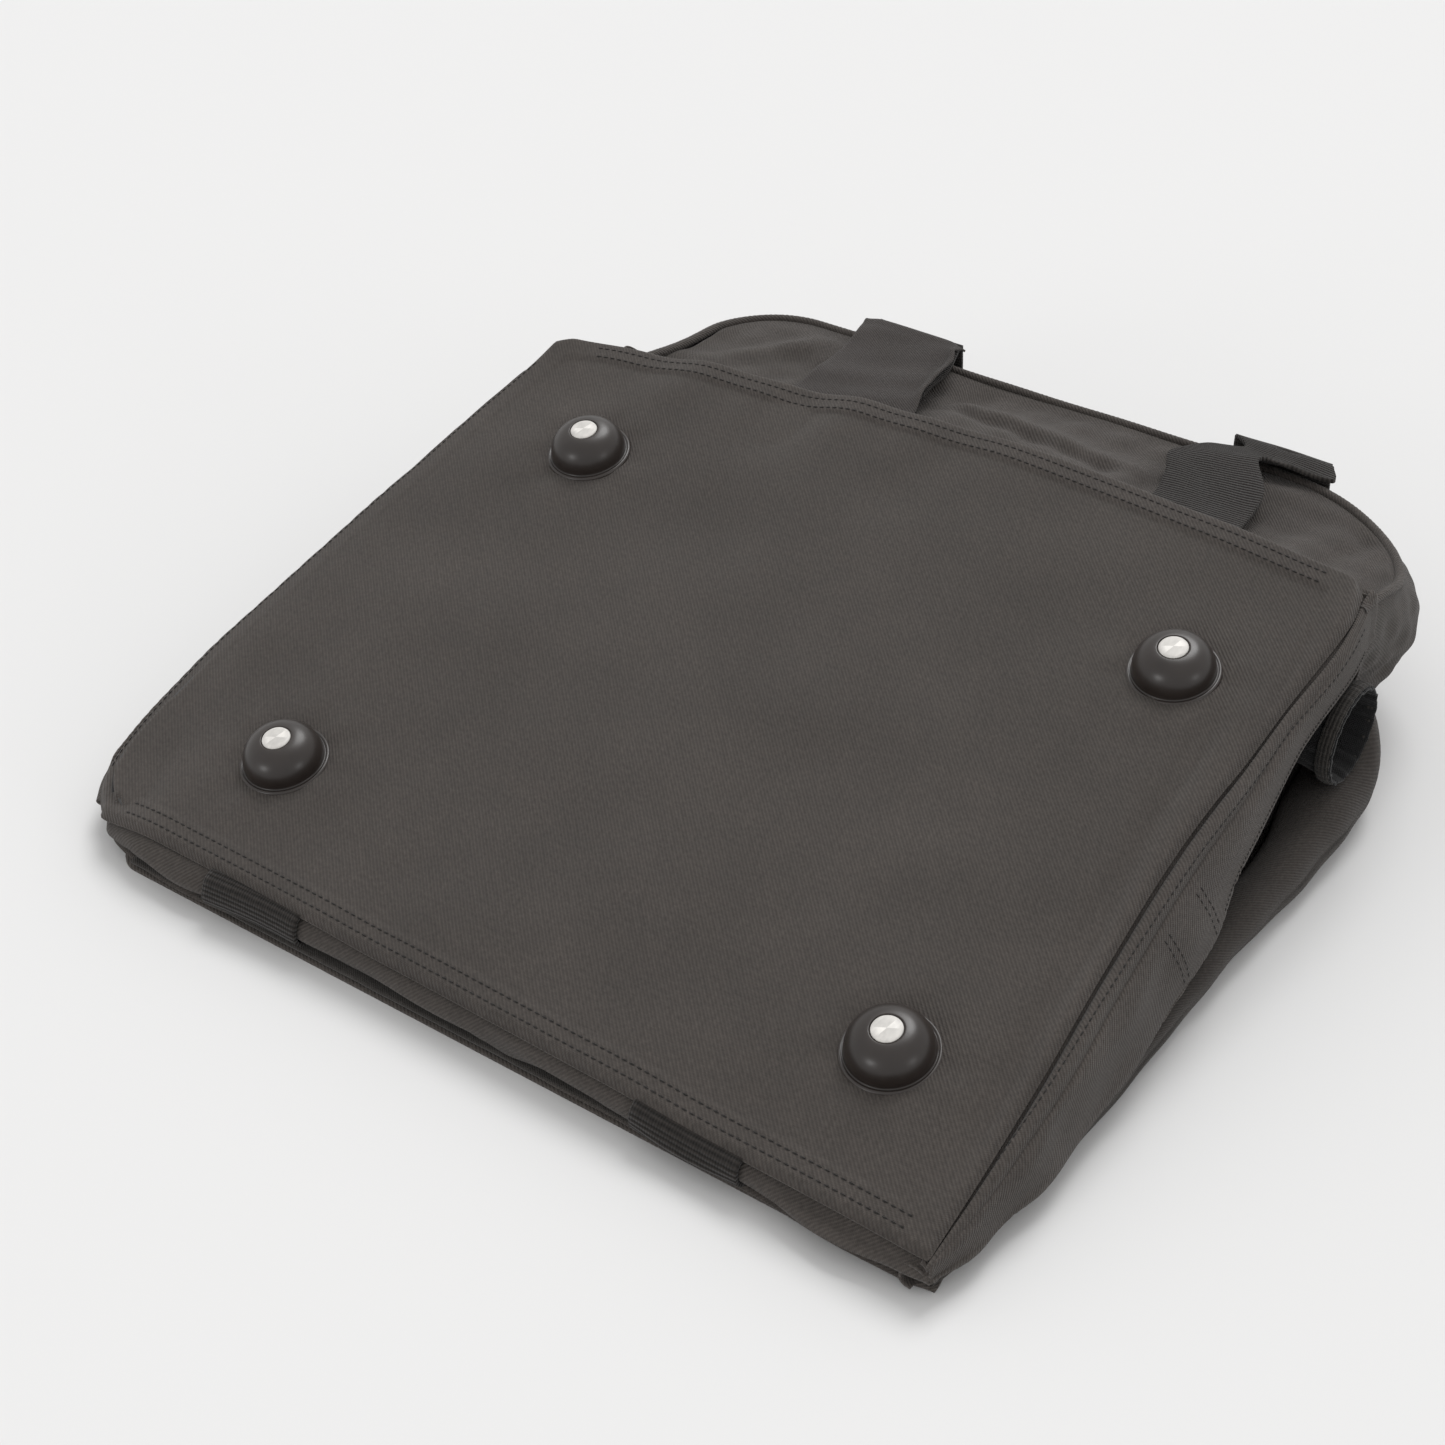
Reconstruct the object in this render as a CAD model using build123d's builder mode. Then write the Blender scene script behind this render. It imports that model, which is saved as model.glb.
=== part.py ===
from build123d import *
import os
from math import cos, radians, sin, tan

# A soft film changing bag, collapsed and lying upside down on its top panel.
# X runs along the long edge of the base, Y from front to back, +Z up. The origin is on the
# floor, under the middle of the four feet. Millimetres and degrees.

# ---- Base panel, which tilts about X with its back edge high ----
base_width = 438.0
base_depth = 372.0
base_shift_x = -14.0  # middle of the feet to the middle of the base, along X
base_shift_y = 14.0  # and up the slope of the base
base_tilt = 13.5
front_height = 22.7  # floor to the outer face of the base at its front edge
base_corner_radius = 10.0
cover_thickness = 1.2
board_thickness = 2.0
board_inset = 6.0
lining_thickness = 0.8
lining_inset = 2.0
seam_tape_width = 14.0
seam_tape_thickness = 1.0
layer_gap = 0.1

# ---- Dome feet, rivets and washers ----
foot_spacing_x = 309.0
foot_spacing_y = 220.0
foot_flange_radius = 20.0
foot_flange_thickness = 2.2
foot_dome_radius = 17.6
foot_height = 15.4
foot_bulge_radius = 14.3  # half-way point of the dome's profile
foot_bulge_height = 11.1
foot_rim_fillet = 0.9
rivet_head_radius = 6.3
rivet_head_thickness = 1.8
rivet_head_stand = 0.5  # the head stands this far out of the dome
rivet_head_chamfer = 0.7
rivet_shank_radius = 2.5
rivet_tail_radius = 4.2
rivet_tail_thickness = 1.2
shank_clearance = 0.2
head_clearance = 0.25
washer_radius = 9.0
washer_thickness = 1.0

# ---- Top panel on the floor, and the rounded back section above it ----
top_inset = 14.0  # the top panel is this much narrower than the base at each side
back_reach = 101.5  # and reaches this far behind its back edge
top_front_radius = 12.0
top_back_radius = 60.0
panel_thickness = 1.5
top_lining_inset = 15.0
seat_clearance = 0.3
gusset_inset = 2.0
gusset_thickness = 2.5
gusset_height = 75.5
gusset_leg = 99.0  # how far forward the gusset runs along each side
hidden_corner_radius = 1.0
piping_radius = 2.5
binding_width = 10.0
binding_thickness = 2.0

# ---- Side rolls and folded walls ----
roll_width = 28.0
roll_height = 31.0
roll_overhang = 3.0  # half the base's width to the roll's outer face
roll_edge_radius = 8.0
roll_front_margin = 5.0
wall_thickness = 12.0
wall_inset = 8.0
wall_back_margin = 4.0
wall_tip_margin = 8.0  # from where the roll meets the base to the wall's thin front tip
fold_clearance = 1.0
sheet_thickness = 1.2
front_fold_depth = 113.0
front_fold_height = 10.5
front_fold_lift = 2.5  # top panel to the lower sheet of the front fold

# ---- Back wall, a ledge from under the base to the upper piping ----
ledge_thickness = 2.0
ledge_tuck = 50.0  # how far it runs in under the base
ledge_tuck_height = 86.0
ledge_crown_height = 91.0
ledge_middle_height = 88.0
ledge_edge_height = 77.0

# ---- Webbing ----
webbing_width = 50.0
webbing_thickness = 2.2
strap_offset = 112.0  # from the middle, on the front wall
back_strap_left_x = -96.0
back_strap_right_x = 108.0
front_strap_thickness = 1.6
front_strap_return = 40.0
front_strap_drop = 3.5  # from the top of the base's front edge to the strap
strap_lift = 1.6  # ledge to strap
strap_tuck = 25.0
arch_height = 98.0
arch_end_height = 87.5
arch_overhang = 9.0
arch_rise_length = 45.0  # from the arch's top to its end
arch_bend_length = 14.0
arch_bend_drop = 2.5
sheath_width = 66.0
sheath_thickness = 1.6
sheath_gap = 0.5

# ---- Carrying handles ----
handle_gap = 3.7  # from the end of an arch to the hanging webbing
handle_drop = 76.0
handle_core_height = 18.0
leg_taper = 20.0
grip_radius = 12.0
grip_end_margin = 10.0
grip_slot_clearance = 0.4
front_handle_lift = 3.6
front_handle_reach = 95.0
front_leg_setback = 4.0
front_cover_radius = 1.5
front_cover_width = 24.0
front_cover_thickness = 5.0
front_cover_length = 130.0

# ---- Arm sleeves ----
sleeve_y = 156.0
sleeve_z = 57.0
sleeve_half_width = 20.5
sleeve_half_height = 19.5
sleeve_thickness = 2.0
sleeve_length = 124.0
sleeve_proud = 8.0  # beyond the outer face of the side wall
cuff_width = 8.0
cuff_thickness = 2.2
cuff_gap = 0.3
port_clearance = 1.5

# ---- Inner bag ----
inner_width = 300.0
inner_depth = 170.0
inner_front_gap = 10.0  # behind the front fold
inner_height = 10.0
inner_thickness = 1.4
arm_slot_width = 84.0
inner_corner_radius = 20.0

# ---- Zips ----
zip_tape_width = 30.0
zip_tape_thickness = 0.8
zip_coil_width = 6.0
zip_coil_depth = 2.0
outer_zip_length = 300.0
outer_zip_height = 60.0
inner_zip_length = 220.0
zip_stop_width = 3.0
zip_stop_overhang = 1.0
zip_tape_corner = 2.0
slider_length = 14.0
slider_depth = 5.0
slider_clearance = 0.3
slider_cheek = 1.6
slider_roof_gap = 0.15
pin_radius = 0.65
pin_clearance = 0.25
pin_reach = 2.4  # slider body to the middle of the pin
eye_wall = 0.85
pull_width = 8.0
pull_length = 20.0
pull_thickness = 1.4
lug_width = 1.6
zip_end_margin = 10.0

# ---- Values worked out from the ones above ----
tilt = radians(base_tilt)
base_centre_height = front_height + sin(tilt) * (base_depth / 2 - base_shift_y)
base_front_y = -cos(tilt) * (base_depth / 2 - base_shift_y)
base_back_y = cos(tilt) * (base_depth / 2 + base_shift_y)
base_half_width = base_width / 2
base_plane = Plane(
    origin=(0, 0, base_centre_height), x_dir=(1, 0, 0), z_dir=(0, -sin(tilt), cos(tilt))
)
board_top = -cover_thickness - layer_gap
lining_top = board_top - board_thickness - layer_gap
washer_top = lining_top - lining_thickness - layer_gap
tail_top = washer_top - washer_thickness
base_stack = -(washer_top - seam_tape_thickness)
top_half_width = base_half_width - top_inset
top_back_y = base_back_y + back_reach
gusset_half_width = top_half_width - gusset_inset
gusset_back_y = top_back_y - gusset_inset
gusset_radius = top_back_radius - gusset_inset
floor_layer = panel_thickness + seat_clearance
foot_points = {
    "front_left": (-foot_spacing_x / 2, -foot_spacing_y / 2),
    "front_right": (foot_spacing_x / 2, -foot_spacing_y / 2),
    "back_left": (-foot_spacing_x / 2, foot_spacing_y / 2),
    "back_right": (foot_spacing_x / 2, foot_spacing_y / 2),
}
sides = {"left": -1, "right": 1}

os.makedirs("parts", exist_ok=True)


def save(piece, node):
    """Labels a finished piece and writes it as one node."""
    piece.part.label = node
    export_step(piece.part, f"parts/{node}.step")


def underside(y, clearance):
    """Height above the floor of the base's underside over y, less a clearance."""
    return base_centre_height + y * tan(tilt) - (base_stack + clearance) / cos(tilt)


def floor_plan(half_width, front_y, back_y, front_radius, back_radius):
    """Rounded outline seen from above, with small front and large back corners."""
    with BuildSketch() as plan:
        with Locations((0, (front_y + back_y) / 2)):
            Rectangle(2 * half_width, back_y - front_y)
        by_y = plan.vertices().group_by(Axis.Y)
        fillet(by_y[0], front_radius)
        fillet(plan.vertices().group_by(Axis.Y)[-1], back_radius)
    return plan.sketch


def back_path(inset, z):
    """Line along the rounded back of the bag, inset from the gusset's outer face."""
    half, back = gusset_half_width - inset, gusset_back_y - inset
    front = gusset_back_y - gusset_leg
    points = [(half, front, z), (half, back, z), (-half, back, z), (-half, front, z)]
    with BuildLine() as line:
        FilletPolyline(*points, radius=gusset_radius - inset)
    return line.line


def panel_layer(top, thickness, inset, corner_radius, bore_radius):
    """One flat layer of the base, bored for the four rivets."""
    with BuildPart() as layer:
        with BuildSketch(base_plane.offset(top - thickness)):
            with Locations((base_shift_x, base_shift_y)):
                RectangleRounded(base_width - 2 * inset, base_depth - 2 * inset, corner_radius)
            with Locations(*foot_points.values()):
                Circle(bore_radius, mode=Mode.SUBTRACT)
        extrude(amount=thickness)
    return layer


def curved_profile(plane, low_points, thickness):
    """Section of a band of cloth or webbing whose lower face follows points in the YZ plane."""
    high_points = [(y, z + thickness) for y, z in low_points]
    with BuildSketch(plane) as section:
        with BuildLine():
            Spline(*low_points)
            Line(low_points[-1], high_points[-1])
            Spline(*reversed(high_points))
            Line(high_points[0], low_points[0])
        make_face()
    return section.sketch


def curved_strip(x, width, low_points, thickness):
    """A band of the given width, centred on x, that follows points in the YZ plane."""
    with BuildPart() as band:
        profile = curved_profile(Plane.YZ.offset(x), low_points, thickness)
        extrude(profile, amount=width / 2, dir=(1, 0, 0), both=True)
    return band


# ---- Base ----
shank_bore = rivet_shank_radius + shank_clearance
base_cover = panel_layer(0, cover_thickness, 0, base_corner_radius, shank_bore)
save(base_cover, "base_cover")
base_board = panel_layer(
    board_top, board_thickness, board_inset, base_corner_radius, shank_bore
)
save(base_board, "base_board")
base_lining = panel_layer(
    lining_top, lining_thickness, lining_inset, base_corner_radius, shank_bore
)
save(base_lining, "base_lining")

with BuildPart() as base_seam_tape:
    with BuildSketch(base_plane.offset(washer_top - seam_tape_thickness)):
        with Locations((base_shift_x, base_shift_y)):
            RectangleRounded(
                base_width - 2 * lining_inset, base_depth - 2 * lining_inset, base_corner_radius
            )
        offset(amount=-seam_tape_width, mode=Mode.SUBTRACT)
    extrude(amount=seam_tape_thickness)
save(base_seam_tape, "base_seam_tape")

# ---- Feet, rivets and washers ----
recess_floor = foot_height + rivet_head_stand - rivet_head_thickness


def turned_about_foot(foot_point):
    """Plane of a turned profile at a foot: local x is outward, local y along the foot's axis."""
    origin = base_plane.from_local_coords((*foot_point, 0))
    return Plane(origin=origin, x_dir=base_plane.x_dir, z_dir=-base_plane.y_dir)


for place, point in foot_points.items():
    profile_plane = turned_about_foot(point)
    foot_axis = Axis(profile_plane.origin, base_plane.z_dir)
    recess_radius = rivet_head_radius + head_clearance
    with BuildPart() as foot:
        with BuildSketch(profile_plane):
            with BuildLine():
                Polyline(
                    (recess_radius, foot_height),
                    (recess_radius, recess_floor),
                    (shank_bore, recess_floor),
                    (shank_bore, 0),
                    (foot_flange_radius, 0),
                    (foot_flange_radius, foot_flange_thickness),
                    (foot_dome_radius, foot_flange_thickness),
                )
                ThreePointArc(
                    (foot_dome_radius, foot_flange_thickness),
                    (foot_bulge_radius, foot_bulge_height),
                    (recess_radius, foot_height),
                )
            make_face()
        revolve(axis=foot_axis)
        rim = foot.edges().filter_by(GeomType.CIRCLE).group_by(SortBy.RADIUS)[-1]
        fillet(rim, foot_rim_fillet)
    save(foot, f"foot_{place}")

with BuildPart() as foot_rivets:
    for point in foot_points.values():
        profile_plane = turned_about_foot(point)
        with BuildSketch(profile_plane) as rivet_profile:
            with BuildLine():
                Polyline(
                    (0, foot_height + rivet_head_stand),
                    (rivet_head_radius - rivet_head_chamfer, foot_height + rivet_head_stand),
                    (rivet_head_radius, foot_height + rivet_head_stand - rivet_head_chamfer),
                    (rivet_head_radius, recess_floor),
                    (rivet_shank_radius, recess_floor),
                    (rivet_shank_radius, tail_top),
                    (rivet_tail_radius, tail_top),
                    (rivet_tail_radius, tail_top - rivet_tail_thickness),
                    (0, tail_top - rivet_tail_thickness),
                    close=True,
                )
            make_face()
        revolve(rivet_profile.sketch, axis=Axis(profile_plane.origin, base_plane.z_dir))
save(foot_rivets, "foot_rivets")

with BuildPart() as foot_washers:
    with BuildSketch(base_plane.offset(tail_top)):
        with Locations(*foot_points.values()):
            Circle(washer_radius)
            Circle(shank_bore, mode=Mode.SUBTRACT)
    extrude(amount=washer_thickness)
save(foot_washers, "foot_washers")

# ---- Top panel, lining and front binding on the floor ----
with BuildPart() as top_panel:
    add(floor_plan(top_half_width, base_front_y, top_back_y, top_front_radius, top_back_radius))
    extrude(amount=panel_thickness)
save(top_panel, "top_panel")

lining_plan = floor_plan(
    top_half_width - top_lining_inset,
    base_front_y + top_lining_inset,
    top_back_y - top_lining_inset,
    top_front_radius,
    top_back_radius - top_lining_inset,
)
with BuildPart() as top_lining:
    with BuildSketch(Plane.XY.offset(floor_layer)):
        add(lining_plan)
    extrude(amount=lining_thickness)
save(top_lining, "top_lining")

with BuildPart() as front_binding:
    with BuildSketch(Plane.XY.offset(floor_layer)):
        with Locations((0, base_front_y + binding_width / 2)):
            Rectangle(2 * (top_half_width - top_front_radius), binding_width)
    extrude(amount=binding_thickness)
save(front_binding, "front_binding")

# ---- Back gusset with its two pipings ----
with BuildPart() as back_gusset:
    with BuildSketch(Plane.XY.offset(floor_layer)):
        add(floor_plan(gusset_half_width, 0, gusset_back_y, hidden_corner_radius, gusset_radius))
        offset(amount=-gusset_thickness, mode=Mode.SUBTRACT)
        with Locations((0, (gusset_back_y - gusset_leg) / 2)):
            Rectangle(
                2 * gusset_half_width, gusset_back_y - gusset_leg, mode=Mode.SUBTRACT
            )
    extrude(amount=gusset_height - floor_layer)
save(back_gusset, "back_gusset")

piping_rows = {
    "piping_upper": (gusset_thickness / 2, gusset_height + piping_radius + seat_clearance),
    "piping_lower": (-piping_radius - seat_clearance, floor_layer + piping_radius),
}
for node, (inset, height) in piping_rows.items():
    route = back_path(inset, height)
    with BuildPart() as piping:
        with BuildSketch(Plane(origin=route @ 0, z_dir=route % 0)):
            Circle(piping_radius)
        sweep(path=route)
    save(piping, node)

# ---- Side rolls on the floor and the folded side walls above them ----
roll_outer_x = base_half_width + roll_overhang
roll_front_y = base_front_y + roll_front_margin
roll_back_y = gusset_back_y - gusset_leg - fold_clearance
front_roll_height = underside(roll_front_y, fold_clearance)
roll_full_y = (roll_height - underside(0, fold_clearance)) / tan(tilt)
wall_bottom = roll_height + fold_clearance
wall_front_y = roll_full_y + wall_tip_margin
wall_back_y = base_back_y - wall_back_margin
wall_x = {
    name: base_shift_x + side * (base_half_width - wall_inset - wall_thickness / 2)
    for name, side in sides.items()
}

for side_name, side in sides.items():
    with BuildPart() as side_roll:
        with BuildSketch(Plane.YZ.offset(side * (roll_outer_x - roll_width / 2))):
            with BuildLine():
                Polyline(
                    (roll_front_y, floor_layer),
                    (roll_back_y, floor_layer),
                    (roll_back_y, roll_height),
                    (roll_full_y, roll_height),
                    (roll_front_y, front_roll_height),
                    close=True,
                )
            make_face()
        extrude(amount=roll_width / 2, both=True)
        outer_face = side_roll.faces().sort_by(Axis.X)[0 if side < 0 else -1]
        fillet(outer_face.edges().group_by(Axis.Z)[-1], roll_edge_radius)
    save(side_roll, f"side_roll_{side_name}")

    with BuildPart() as side_wall:
        with BuildSketch(Plane.YZ.offset(wall_x[side_name])):
            with BuildLine():
                Polyline(
                    (wall_front_y, wall_bottom),
                    (wall_back_y, wall_bottom),
                    (wall_back_y, underside(wall_back_y, fold_clearance)),
                    (wall_front_y, underside(wall_front_y, fold_clearance)),
                    close=True,
                )
            make_face()
            with Locations((sleeve_y, sleeve_z)):
                Ellipse(
                    sleeve_half_width + port_clearance,
                    sleeve_half_height + port_clearance,
                    mode=Mode.SUBTRACT,
                )
        extrude(amount=wall_thickness / 2, both=True)
    save(side_wall, f"side_wall_{side_name}")

# ---- Front wall, folded in under the front edge of the base ----
fold_bottom = panel_thickness + front_fold_lift
fold_top = fold_bottom + front_fold_height
fold_inner_y = base_front_y + front_fold_depth
with BuildPart() as front_wall:
    with BuildSketch(Plane.YZ.offset(-top_half_width + roll_width)):
        with BuildLine():
            Polyline(
                (base_front_y, fold_bottom),
                (fold_inner_y, fold_bottom),
                (fold_inner_y, fold_top),
                (base_front_y, fold_top),
                (base_front_y, fold_top - sheet_thickness),
                (fold_inner_y - sheet_thickness, fold_top - sheet_thickness),
                (fold_inner_y - sheet_thickness, fold_bottom + sheet_thickness),
                (base_front_y, fold_bottom + sheet_thickness),
                close=True,
            )
        make_face()
    extrude(amount=2 * (top_half_width - roll_width))
save(front_wall, "front_wall")

# ---- Back wall: the ledge between the base and the upper piping ----
ledge_back_y = gusset_back_y - gusset_thickness / 2 - piping_radius - seat_clearance
ledge_points = [
    (base_back_y - ledge_tuck, ledge_tuck_height),
    (base_back_y, ledge_crown_height),
    ((base_back_y + ledge_back_y) / 2, ledge_middle_height),
    (ledge_back_y, ledge_edge_height),
]
ledge_plan = floor_plan(
    gusset_half_width - gusset_thickness - piping_radius,
    0,
    ledge_back_y,
    hidden_corner_radius,
    gusset_radius - gusset_thickness - piping_radius,
)
with BuildPart() as back_wall:
    ledge_profile = curved_profile(Plane.YZ, ledge_points, ledge_thickness)
    extrude(ledge_profile, amount=gusset_half_width, dir=(1, 0, 0), both=True)
    extrude(ledge_plan, amount=2 * base_centre_height, mode=Mode.INTERSECT)
    with BuildSketch():
        for side_name, side in sides.items():
            wall_side = wall_x[side_name] - side * (wall_thickness / 2 + fold_clearance)
            with Locations((wall_side + side * wall_thickness, base_back_y - ledge_tuck)):
                Rectangle(2 * wall_thickness, 2 * ledge_tuck)
    extrude(amount=2 * base_centre_height, mode=Mode.SUBTRACT)
save(back_wall, "back_wall")

# ---- Straps on the back wall, arching up over the ledge ----
arch_end_y = gusset_back_y + arch_overhang
strap_points = [
    (base_back_y - strap_tuck, ledge_crown_height + ledge_thickness + strap_lift / 2),
    (base_back_y, ledge_crown_height + ledge_thickness + strap_lift),
    (arch_end_y - arch_rise_length, arch_height),
    (arch_end_y - arch_bend_length, arch_height - arch_bend_drop),
    (arch_end_y, arch_end_height),
]
back_strap_x = {"left": back_strap_left_x, "right": back_strap_right_x}
for side_name, x in back_strap_x.items():
    strap_back = curved_strip(x, webbing_width, strap_points, webbing_thickness)
    save(strap_back, f"strap_back_{side_name}")

sheath_points = [(y, z + webbing_thickness + sheath_gap) for y, z in strap_points]
strap_sheath = curved_strip(back_strap_x["left"], sheath_width, sheath_points, sheath_thickness)
save(strap_sheath, "strap_sheath")

# ---- Straps on the front wall, turned in under its upper sheet ----
strap_front_y = base_front_y - fold_clearance
strap_turn = fold_top - sheet_thickness - seat_clearance
front_strap_top = front_height - front_strap_drop
for side_name, side in sides.items():
    with BuildPart() as strap_front:
        with BuildSketch(Plane.YZ.offset(side * strap_offset)):
            with BuildLine():
                Polyline(
                    (strap_front_y - front_strap_thickness, front_strap_top),
                    (strap_front_y - front_strap_thickness, strap_turn - front_strap_thickness),
                    (strap_front_y + front_strap_return, strap_turn - front_strap_thickness),
                    (strap_front_y + front_strap_return, strap_turn),
                    (strap_front_y, strap_turn),
                    (strap_front_y, front_strap_top),
                    close=True,
                )
            make_face()
        extrude(amount=webbing_width / 2, both=True)
    save(strap_front, f"strap_front_{side_name}")

# ---- Back handle: webbing that hangs behind the bag from the two arches, with a grip ----
hang_y = arch_end_y + handle_gap
hang_top = arch_end_height - webbing_thickness
hang_bottom = hang_top - handle_drop
core_top = hang_bottom + handle_core_height
left_in = back_strap_x["left"] + webbing_width / 2
left_out = back_strap_x["left"] - webbing_width / 2
right_in = back_strap_x["right"] - webbing_width / 2
right_out = back_strap_x["right"] + webbing_width / 2
hang_shoulder = (core_top + hang_top) / 2
with BuildPart() as handle_back_webbing:
    with BuildSketch(Plane.XZ.offset(-hang_y - webbing_thickness)):
        with BuildLine():
            Polyline(
                (right_out, hang_top),
                (right_out, hang_shoulder),
                (right_out - leg_taper, hang_bottom),
                (left_out + leg_taper, hang_bottom),
                (left_out, hang_shoulder),
                (left_out, hang_top),
                (left_in, hang_top),
                (left_in, core_top),
                (right_in, core_top),
                (right_in, hang_top),
                close=True,
            )
        make_face()
    extrude(amount=webbing_thickness)
save(handle_back_webbing, "handle_back_webbing")

grip_x = left_in + grip_end_margin
grip_length = right_in - left_in - 2 * grip_end_margin
grip_y = hang_y + webbing_thickness / 2
grip_z = hang_bottom + handle_core_height / 2
with BuildPart() as handle_back_grip:
    with BuildSketch(Plane.YZ.offset(grip_x)):
        with Locations((grip_y, grip_z)):
            Circle(grip_radius)
            Rectangle(
                webbing_thickness + 2 * grip_slot_clearance,
                handle_core_height + 2 * grip_slot_clearance,
                mode=Mode.SUBTRACT,
            )
    extrude(amount=grip_length)
save(handle_back_grip, "handle_back_grip")

# ---- Front handle, flat in the front fold ----
front_handle_z = fold_bottom + front_handle_lift
front_leg_y = base_front_y + front_leg_setback
front_core_y = base_front_y + front_handle_reach
front_out = strap_offset + webbing_width / 2
front_in = strap_offset - webbing_width / 2
with BuildPart() as handle_front_webbing:
    with BuildSketch(Plane.XY.offset(front_handle_z)):
        with BuildLine():
            Polyline(
                (front_out, front_leg_y),
                (front_out, front_core_y - leg_taper * 2),
                (front_out - leg_taper, front_core_y),
                (-front_out + leg_taper, front_core_y),
                (-front_out, front_core_y - leg_taper * 2),
                (-front_out, front_leg_y),
                (-front_in, front_leg_y),
                (-front_in, front_core_y - handle_core_height),
                (front_in, front_core_y - handle_core_height),
                (front_in, front_leg_y),
                close=True,
            )
        make_face()
    extrude(amount=webbing_thickness)
save(handle_front_webbing, "handle_front_webbing")

with BuildPart() as handle_front_cover:
    with BuildSketch(Plane.YZ.offset(-front_cover_length / 2)):
        with Locations(
            (front_core_y - handle_core_height / 2, front_handle_z + webbing_thickness / 2)
        ):
            RectangleRounded(front_cover_width, front_cover_thickness, front_cover_radius)
            Rectangle(
                handle_core_height + 2 * grip_slot_clearance,
                webbing_thickness + 2 * grip_slot_clearance,
                mode=Mode.SUBTRACT,
            )
    extrude(amount=front_cover_length)
save(handle_front_cover, "handle_front_cover")

# ---- Arm sleeves with elastic cuffs, tucked in through the ports of the side walls ----
for side_name, side in sides.items():
    sleeve_mouth_x = wall_x[side_name] + side * (wall_thickness / 2 + sleeve_proud + cuff_width)
    with BuildPart() as sleeve:
        with BuildSketch(Plane.YZ.offset(sleeve_mouth_x - side * sleeve_length / 2)):
            with Locations((sleeve_y, sleeve_z)):
                Ellipse(sleeve_half_width, sleeve_half_height)
                Ellipse(
                    sleeve_half_width - sleeve_thickness,
                    sleeve_half_height - sleeve_thickness,
                    mode=Mode.SUBTRACT,
                )
        extrude(amount=sleeve_length / 2, both=True)
    save(sleeve, f"sleeve_{side_name}")

    with BuildPart() as cuff:
        with BuildSketch(Plane.YZ.offset(sleeve_mouth_x - side * cuff_width / 2)):
            with Locations((sleeve_y, sleeve_z)):
                Ellipse(
                    sleeve_half_width + cuff_gap + cuff_thickness,
                    sleeve_half_height + cuff_gap + cuff_thickness,
                )
                Ellipse(
                    sleeve_half_width + cuff_gap, sleeve_half_height + cuff_gap, mode=Mode.SUBTRACT
                )
        extrude(amount=cuff_width / 2, both=True)
    save(cuff, f"cuff_elastic_{side_name}")

# ---- Inner bag, flat on the lining, with an arm slot at each end ----
inner_bottom = floor_layer + lining_thickness + seat_clearance
inner_y = fold_inner_y + inner_front_gap + inner_depth / 2
with BuildPart() as inner_bag:
    with BuildSketch(Plane.XY.offset(inner_bottom)):
        with Locations((0, inner_y)):
            RectangleRounded(inner_width, inner_depth, inner_corner_radius)
    extrude(amount=inner_height)
    with BuildSketch(Plane.XY.offset(inner_bottom + inner_thickness)):
        with Locations((0, inner_y)):
            RectangleRounded(
                inner_width - 2 * inner_thickness,
                inner_depth - 2 * inner_thickness,
                inner_corner_radius - inner_thickness,
            )
            Rectangle(inner_width, arm_slot_width)
    extrude(amount=inner_height - 2 * inner_thickness, mode=Mode.SUBTRACT)
save(inner_bag, "inner_bag")


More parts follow.
